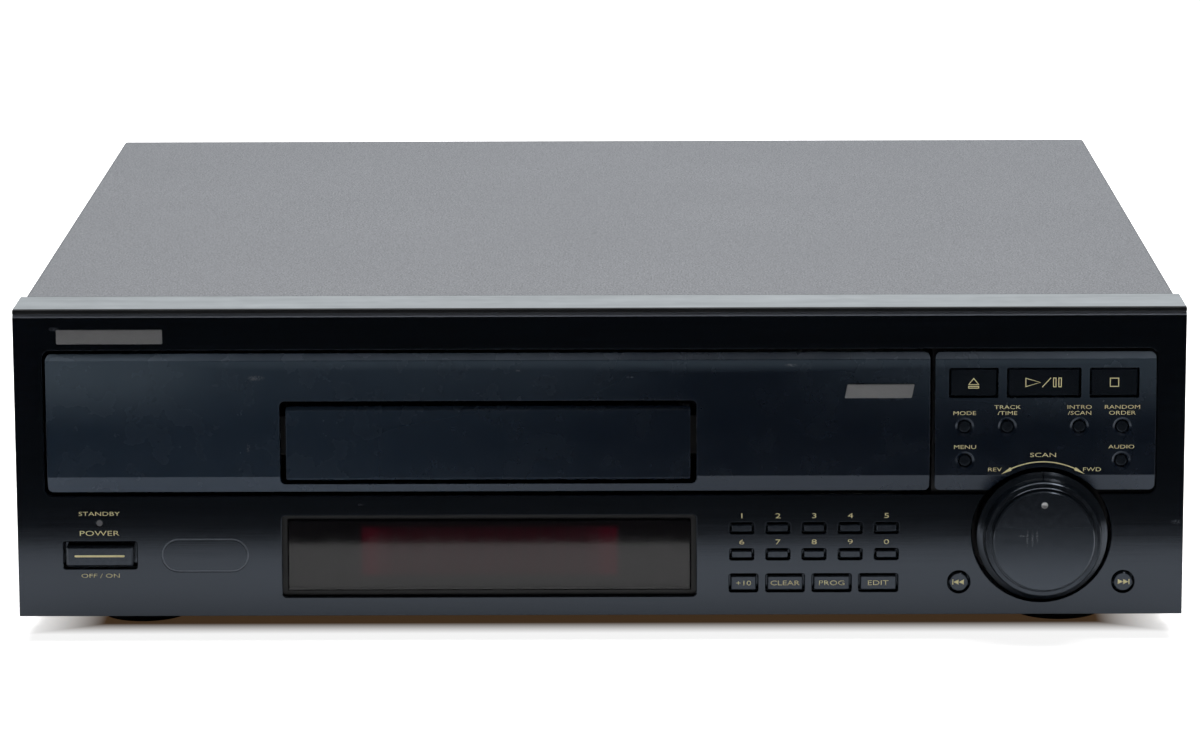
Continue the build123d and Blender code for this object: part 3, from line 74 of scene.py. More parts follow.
# The engraved oval, and the scuffs: x, height, length, width and tilt of each.
oval_span, oval_heights = (-159.0, -126.0), (15.5, 29.3)
fascia_marks = [
    (-195, 105.5, 5, 2, 20),
    (163, 110.4, 4, 1.4, 10),
    (207.5, 34, 5, 2.5, 60),
    (-86, 41, 3, 0.8, 30),
]
door_marks = [
    (68.5, 92.2, 5, 1.4, 78),
    (-29, 90.5, 2.4, 0.9, 60),
    (-123, 88, 7, 2.2, 15),
    (-126, 62, 1.4, 5, 0),
    (11, 88, 3, 0.6, -20),
]
knob_marks = [
    (153.0, 31.0, 1.0, 7, 12),
    (154.8, 30.7, 1.0, 7, -12),
    (156.4, 31.4, 1.0, 6, 8),
    (151.0, 31.8, 3, 1, 30),
]


# ---- Surfaces ----
class Surface:
    """A Principled material with helpers for the procedural nodes that feed it."""

    def __init__(self, name, color, roughness, metallic=0.0, **constants):
        self.material = bpy.data.materials.new(name)
        self.material.use_nodes = True
        self.tree = self.material.node_tree
        self.shader = self.tree.nodes["Principled BSDF"]
        self.set("Base Color", (*color, 1.0))
        self.set("Roughness", roughness)
        self.set("Metallic", metallic)
        for socket, value in constants.items():
            self.set(socket.replace("_", " "), value)
        self.place = self.node("TexCoord").outputs["Object"]
        self.axes = self.node("SeparateXYZ", {0: self.place}).outputs

    def set(self, socket, value):
        """Gives a shader's socket a value, or links it to another node's output."""
        if isinstance(value, bpy.types.NodeSocket):
            self.tree.links.new(value, self.shader.inputs[socket])
        else:
            self.shader.inputs[socket].default_value = value

    def node(self, kind, inputs=(), **settings):
        made = self.tree.nodes.new("ShaderNode" + kind)
        for key, value in settings.items():
            setattr(made, key, value)
        for key, value in dict(inputs).items():
            if isinstance(value, bpy.types.NodeSocket):
                self.tree.links.new(value, made.inputs[key])
            else:
                made.inputs[key].default_value = value
        return made

    def noise(self, size, stretch=(1, 1, 1), detail=2.0):
        """Noise from 0 to 1, with features about as large as size, stretched along each axis."""
        scaled = self.node("Mapping", {"Vector": self.place, "Scale": [1 / (size * s) for s in stretch]})
        texture = self.node("TexNoise", {"Vector": scaled.outputs[0], "Scale": 1.0, "Detail": detail})
        return texture.outputs["Fac"]

    def calculate(self, operation, *values):
        return self.node("Math", dict(enumerate(values)), operation=operation).outputs[0]

    def product(self, first, *others):
        for value in others:
            first = self.calculate("MULTIPLY", first, value)
        return first

    def most(self, first, *others):
        for value in others:
            first = self.calculate("MAXIMUM", first, value)
        return first

    def waves(self, along, pitch):
        """A sine from -1 to 1, with one wave to each pitch."""
        return self.calculate("SINE", self.product(along, 2 * pi / pitch))

    def ramp(self, value, low, high, start=0.0, end=1.0, smooth=False):
        """Start below low, end above high, and in between a slope."""
        made = self.node(
            "MapRange",
            {"Value": value, "From Min": low, "From Max": high, "To Min": start, "To Max": end},
            interpolation_type="SMOOTHSTEP" if smooth else "LINEAR",
        )
        return made.outputs[0]

    def within(self, axis, low, high, soft=0.05 * mm):
        """1 between two places along an axis (0, 1, 2), and 0 outside them."""
        rise = self.ramp(self.axes[axis], low - soft, low + soft)
        fall = self.ramp(self.axes[axis], high - soft, high + soft, 1.0, 0.0)
        return self.product(rise, fall)

    def inside(self, x_span, z_span, soft):
        """1 inside a rectangle of the front, in metres."""
        return self.product(self.within(0, *x_span, soft), self.within(2, *z_span, soft))

    def mix(self, factor, first, second):
        """A blend of two colours, each a value or another node's output."""
        sockets = {"Factor": factor, 6: first, 7: second}
        for key in (6, 7):
            if not isinstance(sockets[key], bpy.types.NodeSocket):
                sockets[key] = (*sockets[key][:3], 1.0)
        return self.node("Mix", sockets, data_type="RGBA").outputs[2]

    def color_by(self, factor, first, second):
        """Blends the base colour from first to second."""
        self.set("Base Color", self.mix(factor, first, second))

    def polish(self, size, low, high, detail=4.0):
        """Roughness that drifts from low to high, in patches about as large as size."""
        self.set("Roughness", self.ramp(self.noise(size, detail=detail), 0.3, 0.7, low, high))

    def bump(self, height, depth, rounded=0.0):
        """Bump whose height runs over depth, on edges that catch the light as if rounded. Metres."""
        made = self.node("Bump", {"Height": height, "Strength": 1.0, "Distance": depth})
        if rounded:
            edges = self.node("Bevel", {"Radius": rounded}, samples=4)
            self.tree.links.new(edges.outputs[0], made.inputs["Normal"])
        self.set("Normal", made.outputs[0])

    def spot(self, x, height, length, width, tilt=0.0):
        """A soft oval on the front, 1 in its middle, broken up by noise. Millimetres and degrees."""
        middle = Vector((x * mm, 0, panel_z + height * mm))
        offset = self.node("VectorMath", {0: self.place, 1: middle}, operation="SUBTRACT")
        turned = self.node("Mapping", {
            "Vector": offset.outputs[0],
            "Rotation": (0, radians(tilt), 0),
            "Scale": (2 / (length * mm), 0, 2 / (width * mm)),
        })
        away = self.node("VectorMath", {0: turned.outputs[0]}, operation="LENGTH").outputs["Value"]
        near = self.ramp(away, 0.35, 1.0, 1.0, 0.0)
        return self.product(near, self.ramp(self.noise(0.5 * mm, detail=4.0), 0.45, 0.6))


def moulded(name, color, roughness, grain=0.35 * mm, depth=0.01 * mm, **constants):
    """Moulded plastic: a fine grain, and a slight drift of colour and gloss."""
    surface = Surface(name, color, roughness, **constants)
    lighter = [min(1.0, channel * 1.25 + 0.002) for channel in color]
    surface.color_by(surface.noise(18 * mm), color, lighter)
    surface.polish(6 * mm, roughness - 0.05, roughness + 0.05)
    surface.bump(surface.noise(grain), depth)
    return surface


def plated(name, color, roughness, drift_size=25 * mm, streak=(1, 1, 1)):
    """Plated or ground metal with faint streaks and stains."""
    surface = Surface(name, color, roughness, metallic=1.0)
    darker = [channel * 0.78 for channel in color]
    surface.color_by(surface.noise(drift_size, detail=5.0), color, darker)
    fine = surface.noise(0.3 * mm, streak, detail=3.0)
    surface.set("Roughness", surface.ramp(fine, 0.3, 0.7, roughness - 0.07, roughness + 0.1))
    surface.bump(fine, 0.003 * mm)
    return surface


# The cool gloss of the front's black surfaces.
blue_sheen = {"Specular_IOR_Level": 0.85, "Specular_Tint": (0.74, 0.84, 1.0, 1.0)}


def cover_paint():
    """Grey paint with dark and light specks, painted lighter than the real grey-black to stand in for the
    sheen of the light from above.
    """
    surface = Surface("cover_paint", (0.19, 0.2, 0.215), 0.5)
    grain = surface.noise(0.6 * mm, detail=3.0)
    speck = surface.ramp(grain, 0.38, 0.62)
    # The specks' colours are lifted above the paint's real grey-black: a painted sheen.
    surface.color_by(speck, (0.115, 0.12, 0.131), (0.28, 0.292, 0.313))
    surface.polish(90 * mm, 0.49, 0.53, detail=5.0)
    surface.bump(grain, 0.05 * mm)
    return surface


def frame_plastic():
    """Black moulding whose top lip is painted a light grey in streaks along it, a painted reflection of the
    bright light above.
    """
    black, painted_sheen_grey = (0.008, 0.009, 0.011), (0.37, 0.4, 0.42)
    surface = Surface("frame_plastic", black, 0.4)
    top, back = fascia_high.z, fascia_high.y
    # Painted reflection: the top of the lip is painted light grey, in streaks along it, for the bright light
    # above.
    lip = surface.ramp(surface.axes[2], top - 0.6 * mm, top - 0.2 * mm)
    behind = surface.ramp(surface.axes[1], back, back + 0.5 * mm)
    sheen_streaks = surface.ramp(surface.noise(6 * mm, (8, 1, 1), detail=4.0), 0.25, 0.75, 0.8, 1.0)
    surface.color_by(surface.product(lip, behind, sheen_streaks), black, painted_sheen_grey)
    surface.polish(6 * mm, 0.35, 0.45)
    surface.bump(surface.noise(0.35 * mm), 0.01 * mm, rounded=0.4 * mm)
    return surface


def fascia_black():
    """Black anodised plate with a fine horizontal hairline, bare along its bevel."""
    surface = Surface("fascia_black", (0.0012, 0.0026, 0.0045), 0.12, **blue_sheen)
    hairline = surface.noise(0.16 * mm, (260, 1, 1))
    slow = surface.noise(1.1 * mm, (120, 1, 1))
    streaks = surface.product(surface.ramp(hairline, 0.3, 0.7), surface.ramp(slow, 0.3, 0.75))
    plain = surface.mix(streaks, (0.0008, 0.0017, 0.0032), (0.003, 0.0052, 0.0085))
    bevel_low, bevel_soft = fascia_high.z - 1.45 * mm, 0.1 * mm
    bare = surface.ramp(surface.axes[2], bevel_low, bevel_low + bevel_soft)
    groove = surface.within(1, front_y + 0.15 * mm, front_y + 0.4 * mm)
    span = [edge * mm for edge in oval_span]
    heights = [panel_z + edge * mm for edge in oval_heights]
    oval = surface.product(groove, surface.inside(span, heights, 0.3 * mm), 0.7)
    marks = surface.most(*[surface.spot(*mark) for mark in fascia_marks])
    light = surface.most(bare, oval, surface.product(marks, 0.35))
    surface.color_by(light, plain, (0.2, 0.215, 0.25))
    surface.set("Roughness", surface.ramp(hairline, 0.25, 0.75, 0.09, 0.16))
    surface.bump(hairline, 0.004 * mm, rounded=0.25 * mm)
    return surface


def door_black():
    """Satin moulding of a blue black, painted lighter to the left, with a painted sheen towards its top and
    both its ends.
    """
    surface = Surface("door_black", (0.008, 0.014, 0.022), 0.28, **blue_sheen)
    across, upward = surface.axes[0], surface.axes[2]
    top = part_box("ld_door")[1].z
    # Painted light: the blue black is painted lighter to the left, and a painted sheen lies towards the top,
    # towards both ends and along a thin crest just under the top edge.
    painted_left_light = surface.ramp(across, -150 * mm, 70 * mm, 1.0, 0.0, smooth=True)
    blue_painted_lighter_left = surface.mix(painted_left_light, (0.0006, 0.0045, 0.013), (0.0115, 0.0235, 0.042))
    left_painted_sheen = surface.ramp(across, -190 * mm, -112 * mm, 1.0, 0.22, smooth=True)
    left_sheen_fade = surface.ramp(across, -20 * mm, 40 * mm, 1.0, 0.15, smooth=True)
    right_painted_sheen = surface.ramp(across, 60 * mm, 180 * mm, 0.0, 0.5)
    painted_light_ends = surface.calculate("ADD", surface.product(left_painted_sheen, left_sheen_fade), right_painted_sheen)
    upper = surface.ramp(upward, top - 30 * mm, top - 4 * mm, smooth=True)
    sheen_cloud = surface.ramp(surface.noise(30 * mm, detail=3.0), 0.3, 0.7, 0.8, 1.0)
    crest_highlight_rise = surface.ramp(upward, top - 8 * mm, top - 3 * mm, 0.0, 0.55, smooth=True)
    crest_highlight_end = surface.ramp(upward, top - 2.6 * mm, top - 2.2 * mm, 1.0, 0.1)
    painted_sheen = surface.most(surface.product(painted_light_ends, upper, sheen_cloud), surface.product(crest_highlight_rise, crest_highlight_end))
    with_painted_sheen = surface.mix(painted_sheen, blue_painted_lighter_left, (0.08, 0.11, 0.14))
    marks = surface.most(*[surface.spot(*mark) for mark in door_marks])
    surface.color_by(surface.product(marks, 0.4), with_painted_sheen, (0.3, 0.31, 0.32))
    surface.polish(10 * mm, 0.22, 0.3, detail=5.0)
    surface.bump(surface.noise(0.2 * mm), 0.003 * mm, rounded=0.35 * mm)
    return surface


def button_black():
    """Gloss black of the buttons and keys."""
    surface = Surface("button_black", (0.005, 0.008, 0.012), 0.16, **blue_sheen)
    surface.color_by(surface.noise(3 * mm, detail=4.0), (0.004, 0.0065, 0.01), (0.009, 0.012, 0.017))
    surface.polish(1.5 * mm, 0.12, 0.22)
    surface.bump(surface.noise(0.8 * mm), 0.002 * mm, rounded=0.3 * mm)
    return surface


def knob_black():
    """Gloss black with turned rings, a cap painted lighter towards its bottom as a painted glow, and scuffs
    from fingers on the cap.
    """
    surface = Surface("knob_black", (0.006, 0.008, 0.011), 0.2, **blue_sheen)
    cap_low, cap_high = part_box("scan_knob_cap")
    middle = (cap_low + cap_high) / 2
    across = surface.calculate("SUBTRACT", surface.axes[0], middle.x)
    upward = surface.calculate("SUBTRACT", surface.axes[2], middle.z)
    squares = [surface.product(way, way) for way in (across, upward)]
    rings = surface.waves(surface.calculate("SQRT", surface.calculate("ADD", *squares)), 0.35 * mm)
    on_cap = surface.calculate("LESS_THAN", surface.axes[1], cap_low.y + 1.0 * mm)
    # Painted glow: the cap is painted lighter towards its bottom.
    painted_glow = surface.ramp(upward, -12 * mm, 15 * mm, 1.0, 0.12, smooth=True)
    plain = surface.mix(surface.product(on_cap, painted_glow), (0.004, 0.006, 0.009), (0.036, 0.043, 0.053))
    marks = surface.most(*[surface.spot(*mark) for mark in knob_marks])
    surface.color_by(surface.product(marks, on_cap, 0.4), plain, (0.3, 0.32, 0.34))
    surface.polish(2 * mm, 0.14, 0.24, detail=5.0)
    surface.bump(rings, 0.0012 * mm, rounded=0.3 * mm)
    return surface


def window_smoke():
    """Smoked plastic that shows the display mask behind it."""
    smoke = (0.003, 0.0025, 0.004)
    surface = Surface("window_smoke", smoke, 0.05, Alpha=0.72, Specular_IOR_Level=0.7)
    surface.color_by(surface.noise(30 * mm), smoke, (0.006, 0.004, 0.006))
    surface.polish(4 * mm, 0.04, 0.09)
    return surface


def board_green():
    """Solder mask, darker between the copper tracks."""
    surface = Surface("board_green", (0.02, 0.09, 0.035), 0.35)
    cells = surface.node("TexVoronoi", {"Vector": surface.place, "Scale": 260.0}, distance="MANHATTAN")
    tracks = surface.ramp(cells.outputs["Distance"], 0.18, 0.22)
    surface.color_by(tracks, (0.035, 0.15, 0.06), (0.014, 0.07, 0.028))
    surface.bump(tracks, 0.02 * mm)
    return surface


def supply_metal():
    """Laminated iron."""
    surface = moulded("supply_metal", (0.10, 0.085, 0.07), 0.45)
    surface.bump(surface.waves(surface.axes[2], 0.7 * mm), 0.03 * mm)
    return surface


def belt_rubber():
    """Dull black rubber."""
    surface = moulded("belt_rubber", (0.012, 0.012, 0.012), 0.7)
    surface.bump(surface.noise(0.2 * mm, detail=4.0), 0.02 * mm)
    return surface


surfaces = {
    "frame_plastic": frame_plastic(),
    "fascia_black": fascia_black(),
    "door_black": door_black(),
    "button_black": button_black(),
    "knob_black": knob_black(),
    "window_smoke": window_smoke(),
    "lens_smoke": moulded("lens_smoke", (0.16, 0.16, 0.17), 0.15),
    "cover_paint": cover_paint(),
    "chassis_zinc": plated("chassis_zinc", (0.62, 0.5, 0.3), 0.38),
    "rear_paint": moulded("rear_paint", (0.025, 0.025, 0.027), 0.42, depth=0.02 * mm),
    "foot_rubber": moulded("foot_rubber", (0.015, 0.015, 0.016), 0.45),
    "screw_black": plated("screw_black", (0.06, 0.06, 0.065), 0.35),
    "tray_plastic": moulded("tray_plastic", (0.012, 0.0125, 0.014), 0.42, depth=0.015 * mm),
    "mechanism_plastic": moulded("mechanism_plastic", (0.025, 0.025, 0.026), 0.5),
    "bridge_steel": plated("bridge_steel", (0.55, 0.56, 0.56), 0.32, streak=(30, 1, 1)),
    "rod_steel": plated("rod_steel", (0.7, 0.7, 0.7), 0.14, streak=(1, 40, 1)),
    "motor_steel": plated("motor_steel", (0.5, 0.5, 0.5), 0.3, streak=(1, 1, 30)),
    "turntable_black": moulded("turntable_black", (0.02, 0.02, 0.021), 0.4),
    "clamper_plastic": moulded("clamper_plastic", (0.04, 0.04, 0.042), 0.4),
    "pickup_plastic": moulded("pickup_plastic", (0.035, 0.035, 0.04), 0.4),
    "gear_plastic": moulded("gear_plastic", (0.72, 0.70, 0.63), 0.35),
    "belt_rubber": belt_rubber(),
    "board_green": board_green(),
    "supply_metal": supply_metal(),
    "socket_plastic": moulded("socket_plastic", (0.015, 0.015, 0.016), 0.38),
}
for part in frame["record"]["subparts"]:
    mesh = nodes[part["node"]].data
    mesh.materials.clear()
    mesh.materials.append(surfaces[part["material_slot"]].material)

gold_print = moulded("gold_print", (0.95, 0.77, 0.42), 0.4)
bright_plate = plated("bright_plate", (0.66, 0.66, 0.67), 0.48, drift_size=9 * mm, streak=(4, 1, 1))
white_print = moulded("white_print", (0.6, 0.6, 0.58), 0.5)
jack_colors = {
    "white": moulded("jack_white", (0.75, 0.75, 0.72), 0.35),
    "red": moulded("jack_red", (0.45, 0.02, 0.02), 0.35),
    "yellow": moulded("jack_yellow", (0.7, 0.5, 0.03), 0.35),
}


# ---- Building pieces ----
def add_piece(name, mesh, surface, body):
    """An object at the origin that rides on a body."""
    piece = bpy.data.objects.new(name, mesh)
    bpy.context.scene.collection.objects.link(piece)
    mesh.materials.clear()
    mesh.materials.append(surface.material)
    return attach(piece, body)


def finish_mesh(name, shape, surface, body, smooth=False):
    """Turns a bmesh into a piece with its faces outwards. Turned forms are smooth between sharp edges."""
    bmesh.ops.recalc_face_normals(shape, faces=shape.faces)
    for face in shape.faces:
        face.smooth = smooth
    mesh = bpy.data.meshes.new(name)
    shape.to_mesh(mesh)
    shape.free()
    if smooth:
        mesh.set_sharp_from_angle(angle=radians(35))
    return add_piece(name, mesh, surface, body)


def front_place(node):
    """The middle of a node, as x and height on the front in millimetres."""
    low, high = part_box(node)
    return (low.x + high.x) / 2 / mm, ((low.z + high.z) / 2 - panel_z) / mm


def landing(node, x, height):
    """A frame on a node's front: local x across, y up the surface and z out of it."""
    well_before = cad_low.y - 50 * mm
    start = Vector((x * mm, well_before, panel_z + height * mm))
    found, point, normal, _ = nodes[node].ray_cast(start, Vector((0, 1, 0)))
    if not found:
        raise ValueError(f"nothing of {node} lies at {x}, {height}")
    across = Vector((1, 0, 0))
    upward = normal.cross(across).normalized()
    return Matrix.Translation(point) @ Matrix((across, upward, normal)).transposed().to_4x4()


print_thickness = 0.04 * mm
line_width = 0.4             # of printed lines, in millimetres
font_thinning = -0.008       # how far letters' outlines stand out, as a share of their size
weld = 1e-7                  # vertices closer than this are one


def lettering(name, words, node, x, height, letter_height, stretch=1.45):
    """Printed words centred on a place of a node's front. Letter height in millimetres."""
    curve = bpy.data.curves.new(name, "FONT")
    curve.body, curve.align_x, curve.align_y = words, "CENTER", "CENTER"
    curve.resolution_u = 3
    curve.offset = font_thinning
    source = bpy.data.objects.new(name + "_curve", curve)
    bpy.context.scene.collection.objects.link(source)
    bpy.context.view_layer.update()
    flat = bpy.data.meshes.new_from_object(source)
    bpy.data.objects.remove(source)
    xs = [vertex.co.x for vertex in flat.vertices]
    ys = [vertex.co.y for vertex in flat.vertices]
    scale = letter_height * mm / (max(ys) - min(ys))
    middle = Vector(((max(xs) + min(xs)) / 2, (max(ys) + min(ys)) / 2, 0))
    flat.transform(Matrix.Diagonal((scale * stretch, scale, 1, 1)) @ Matrix.Translation(-middle))
    shape = bmesh.new()
    shape.from_mesh(flat)
    bmesh.ops.remove_doubles(shape, verts=shape.verts, dist=weld)
    bpy.data.meshes.remove(flat)
    extruded = bmesh.ops.extrude_face_region(shape, geom=shape.faces[:])
    raised = [item for item in extruded["geom"] if isinstance(item, bmesh.types.BMVert)]
    bmesh.ops.translate(shape, verts=raised, vec=(0, 0, print_thickness))
    bmesh.ops.transform(shape, matrix=landing(node, x, height), verts=shape.verts)
    finish_mesh(name, shape, gold_print, body_of_node[node])


def prism(shape, points, thickness, matrix):
    """A flat shape of the given outline, in millimetres, with a thickness in metres."""
    low = [shape.verts.new(matrix @ Vector((x * mm, y * mm, 0))) for x, y in points]
    high = [shape.verts.new(matrix @ Vector((x * mm, y * mm, thickness))) for x, y in points]
    shape.faces.new(high)
    shape.faces.new(low[::-1])
    for number in range(len(points)):
        after = (number + 1) % len(points)
        shape.faces.new((low[number], low[after], high[after], high[number]))


def stroke(shape, points, width, matrix, closed=True):
    """A printed line of the given width along points, with mitred corners."""
    count, sharpest = len(points), 0.25
    sides = []
    for number, point in enumerate(points):
        before = points[number - 1] if closed or number else point
        after = points[(number + 1) % count] if closed or number < count - 1 else point
        normals = []
        for (x0, y0), (x1, y1) in ((before, point), (point, after)):
            length = hypot(x1 - x0, y1 - y0)
            if length:
                normals.append(((y0 - y1) / length, (x1 - x0) / length))
        nx, ny = (sum(normal[axis] for normal in normals) / len(normals) for axis in (0, 1))
        out = width / 2 / max(nx * nx + ny * ny, sharpest)
        x, y = point
        sides.append(((x + nx * out, y + ny * out), (x - nx * out, y - ny * out)))
    for number in range(count if closed else count - 1):
        (a, b), (d, c) = sides[number], sides[(number + 1) % count]
        prism(shape, [a, b, c, d], print_thickness, matrix)


def arc(radius, start, end, steps, centre=(0.0, 0.0)):
    """Points round a circle, with angles in degrees from +x."""
    turns = [radians(start + (end - start) * step / steps) for step in range(steps + 1)]
    return [(centre[0] + radius * cos(turn), centre[1] + radius * sin(turn)) for turn in turns]


def revolved(name, profile, matrix, surface, body):
    """A turned piece. The profile is radius and distance along local z, in millimetres."""
    steps = 32
    shape = bmesh.new()
    rings = []
    for radius, along in profile:
        if radius == 0:
            rings.append([shape.verts.new(matrix @ Vector((0, 0, along * mm)))])
            continue
        places = [(x * mm, y * mm, along * mm) for x, y in arc(radius, 0, 360, steps)[:-1]]
        rings.append([shape.verts.new(matrix @ Vector(place)) for place in places])
    for lower, upper in zip(rings, rings[1:]):
        for step in range(steps):
            after = (step + 1) % steps
            if len(lower) == 1:
                shape.faces.new((lower[0], upper[after], upper[step]))
            elif len(upper) == 1:
                shape.faces.new((lower[step], lower[after], upper[0]))
            else:
                shape.faces.new((lower[step], lower[after], upper[after], upper[step]))
    for ring in (rings[0], rings[-1]):
        if len(ring) > 1:
            shape.faces.new(ring)
    return finish_mesh(name, shape, surface, body, smooth=True)


def add_ring(name, profile, matrix, surface, body="cabinet", steps=48):
    """A closed ring with the given cross-section, as radius and distance along local z."""
    shape = bmesh.new()
    loops = []
    for x, y in arc(1.0, 0, 360, steps)[:-1]:
        loops.append([shape.verts.new(matrix @ Vector((x * r * mm, y * r * mm, z * mm))) for r, z in profile])
    for step in range(steps):
        first, second = loops[step], loops[(step + 1) % steps]
        for number in range(len(profile)):
            after = (number + 1) % len(profile)
            shape.faces.new((first[number], second[number], second[after], first[after]))
    finish_mesh(name, shape, surface, body, smooth=True)


def rectangle(x, y, width, height):
    """Stands up and to +x from its corner at x, y."""
    return [(x, y), (x + width, y), (x + width, y + height), (x, y + height)]


def triangle(x, y, width, height):
    """Points to +x from its flat side at x."""
    return [(x, y - height / 2), (x + width, y), (x, y + height / 2)]


def mirrored(points):
    return [(-x, y) for x, y in reversed(points)]


# ---- Printing on the front ----
def print_keys():
    """Digits over the number keys, and words on the rest."""
    digit_rise, digit_size, word_size = 1.55, 1.75, 1.7
    for digit in "1234567890":
        key = "key_" + digit
        x, height = front_place(key)[0], (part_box(key)[1].z - panel_z) / mm + digit_rise
        lettering("digit_" + digit, digit, "fascia_plate", x, height, digit_size, stretch=1.7)
    words = {"key_plus_ten": "+10", "clear_key": "CLEAR", "program_key": "PROG", "edit_key": "EDIT"}
    for node, word in words.items():
        lettering(node + "_print", word, node, *front_place(node), word_size)


def print_power():
    """Words round the power button, and the bar along it."""
    x = front_place("standby_lens")[0]
    prints = {
        "standby_print": ("STANDBY", 37.9, 1.45),
        "power_print": ("POWER", 30.7, 1.8),
        "on_off_print": ("OFF / ON", 15.0, 1.45),
    }
    for name, (words, height, size) in prints.items():
        lettering(name, words, "fascia_plate", x, height, size, stretch=1.6)
    bar_height, bar_thickness = 22.7, 0.12 * mm
    half_length, half_width = 9.05, 0.36
    reach = half_length - half_width
    outline = arc(half_width, -90, 90, 6, (reach, 0)) + arc(half_width, 90, 270, 6, (-reach, 0))
    bar = bmesh.new()
    prism(bar, outline, bar_thickness, landing("power_button", x, bar_height))
    finish_mesh("power_bar", bar, gold_print, "power_button")


round_labels = {
    "direct_button": ["MODE"],
    "time_button": ["TRACK", "/TIME"],
    "intro_button": ["INTRO", "/SCAN"],
    "random_button": ["RANDOM", "ORDER"],
    "system_button": ["MENU"],
    "language_button": ["AUDIO"],
}


def print_round_labels():
    """One or two lines of words over each small round button."""
    label_rise, line_pitch, label_size = 5.0, 2.15, 1.35
    for node, lines in round_labels.items():
        x, height = front_place(node)
        for number, words in enumerate(reversed(lines)):
            line_height = height + label_rise + line_pitch * number
            name = f"{node}_print_{number + 1}"
            lettering(name, words, "control_panel", x, line_height, label_size, stretch=1.5)


def print_scan_arc():
    """The arc over the knob, with an arrowhead at each end and its words."""
    knob_x, knob_height = front_place("scan_knob_cap")
    scan_rise, side_rise = 29.6, 24.3
    lettering("scan_print", "SCAN", "control_panel", knob_x, knob_height + scan_rise, 1.5, stretch=1.7)
    for name, words, offset in (("rev_print", "REV", -17.2), ("fwd_print", "FWD", 17.6)):
        lettering(name, words, "control_panel", knob_x + offset, knob_height + side_rise, 1.35, stretch=1.5)
    radius, half_turn, head_turn, head_half = 27.1, 25.0, 8.5, 0.62
    top = landing("control_panel", knob_x, knob_height + radius)
    middle = (0.0, -radius)
    shape = bmesh.new()
    stroke(shape, arc(radius, 90 + half_turn, 90 - half_turn, 24, middle), line_width, top, closed=False)
    for side in (-1, 1):
        tip = arc(radius, 90 + side * (half_turn + head_turn), 90, 1, middle)[0]
        inner = arc(radius - head_half, 90 + side * half_turn, 90, 1, middle)[0]
        outer = arc(radius + head_half, 90 + side * half_turn, 90, 1, middle)[0]
        prism(shape, [tip, inner, outer], print_thickness, top)
    finish_mesh("scan_arc", shape, gold_print, "cabinet")


def print_symbols():
    """Transport symbols: filled shapes, outlined shapes and single lines of each button."""
    symbol_line = 0.3
    skip = [rectangle(2.0, -0.95, 0.35, 1.9), triangle(0.1, 0, 1.85, 1.9), triangle(-1.85, 0, 1.85, 1.9)]
    eject = [[(-1.8, -0.7), (1.8, -0.7), (0.0, 1.5)], rectangle(-1.8, -2.0, 3.6, 0.65)]
    play = [triangle(-6.5, 0, 5.2, 3.1), rectangle(3.4, -1.6, 0.9, 3.2), rectangle(5.3, -1.6, 0.9, 3.2)]
    symbols = {
        "eject_button": ([], eject, []),
        "play_button": ([], play, [[(-0.6, -1.7), (2.5, 1.7)]]),
        "stop_button": ([], [rectangle(-1.5, -1.5, 3.0, 3.0)], []),
        "skip_back_button": ([mirrored(points) for points in skip], [], []),
        "skip_forward_button": (skip, [], []),
    }
    for node, (filled, outlined, lines) in symbols.items():
        matrix = landing(node, *front_place(node))
        shape = bmesh.new()
        for points in filled:
            prism(shape, points, print_thickness, matrix)
        for points in outlined:
            stroke(shape, points, symbol_line, matrix)
        for points in lines:
            stroke(shape, points, symbol_line, matrix, closed=False)
        finish_mesh(node + "_symbol", shape, gold_print, body_of_node[node])


def blank_plate(name, node, x, height, width, tall, slant=0.0):
    """A blank metal plate with a bevelled edge, its top edge shifted by twice the slant."""
    plate_thickness, plate_bevel = 0.7 * mm, 0.2 * mm
    half_width, half_height = width / 2, tall / 2
    outline = [(-half_width - slant, -half_height), (half_width - slant, -half_height),
               (half_width + slant, half_height), (-half_width + slant, half_height)]
    shape = bmesh.new()
    prism(shape, outline, plate_thickness, landing(node, x, height))
    bmesh.ops.bevel(shape, geom=shape.edges[:], offset=plate_bevel, segments=2, affect="EDGES")
    finish_mesh(name, shape, bright_plate, body_of_node[node])


def knob_dimple():
    """The metal dish set in the cap's dimple."""
    dimple_rise = 13.3
    x, height = front_place("scan_knob_cap")
    profile = [(1.17, 0.0), (1.17, 0.55), (1.05, 0.62), (0.9, 0.55), (0.6, 0.4), (0.3, 0.32), (0, 0.3)]
    matrix = landing("scan_knob_cap", x, height + dimple_rise)
    revolved("knob_dimple", profile, matrix, bright_plate, "scan_knob")


def display_red(low, high):
    """Black, with the unlit tube's dark red filter in the middle of the window's box, which gives off a
    painted glow.
    """
    surface = Surface("display_red", (0.03, 0.004, 0.006), 0.6, Specular_IOR_Level=0.1)
    middle, half_tube = (low.x + high.x) / 2, 46 * mm
    heights = (low.z + 6.5 * mm, high.z - 6.0 * mm)
    tube = surface.inside((middle - half_tube, middle + half_tube), heights, 1.0 * mm)
    away = surface.calculate("ABSOLUTE", surface.calculate("SUBTRACT", surface.axes[0], middle))
    # The filter's red pattern, stronger towards the tube's ends, also sets a painted glow: the unlit tube
    # gives off a dim red light.
    painted_light_ends = surface.ramp(away, 34 * mm, half_tube, 0.35, 1.0, smooth=True)
    bars = surface.ramp(surface.waves(surface.axes[0], 5.2 * mm), -1.0, -0.7, 0.6, 1.0)
    painted_glow = surface.product(painted_light_ends, bars, tube)
    surface.color_by(painted_glow, (0.003, 0.0025, 0.004), (0.4, 0.012, 0.03))
    surface.set("Emission Color", surface.mix(painted_glow, (0, 0, 0), (0.3, 0.004, 0.035)))
    surface.set("Emission Strength", 1.0)
    return surface


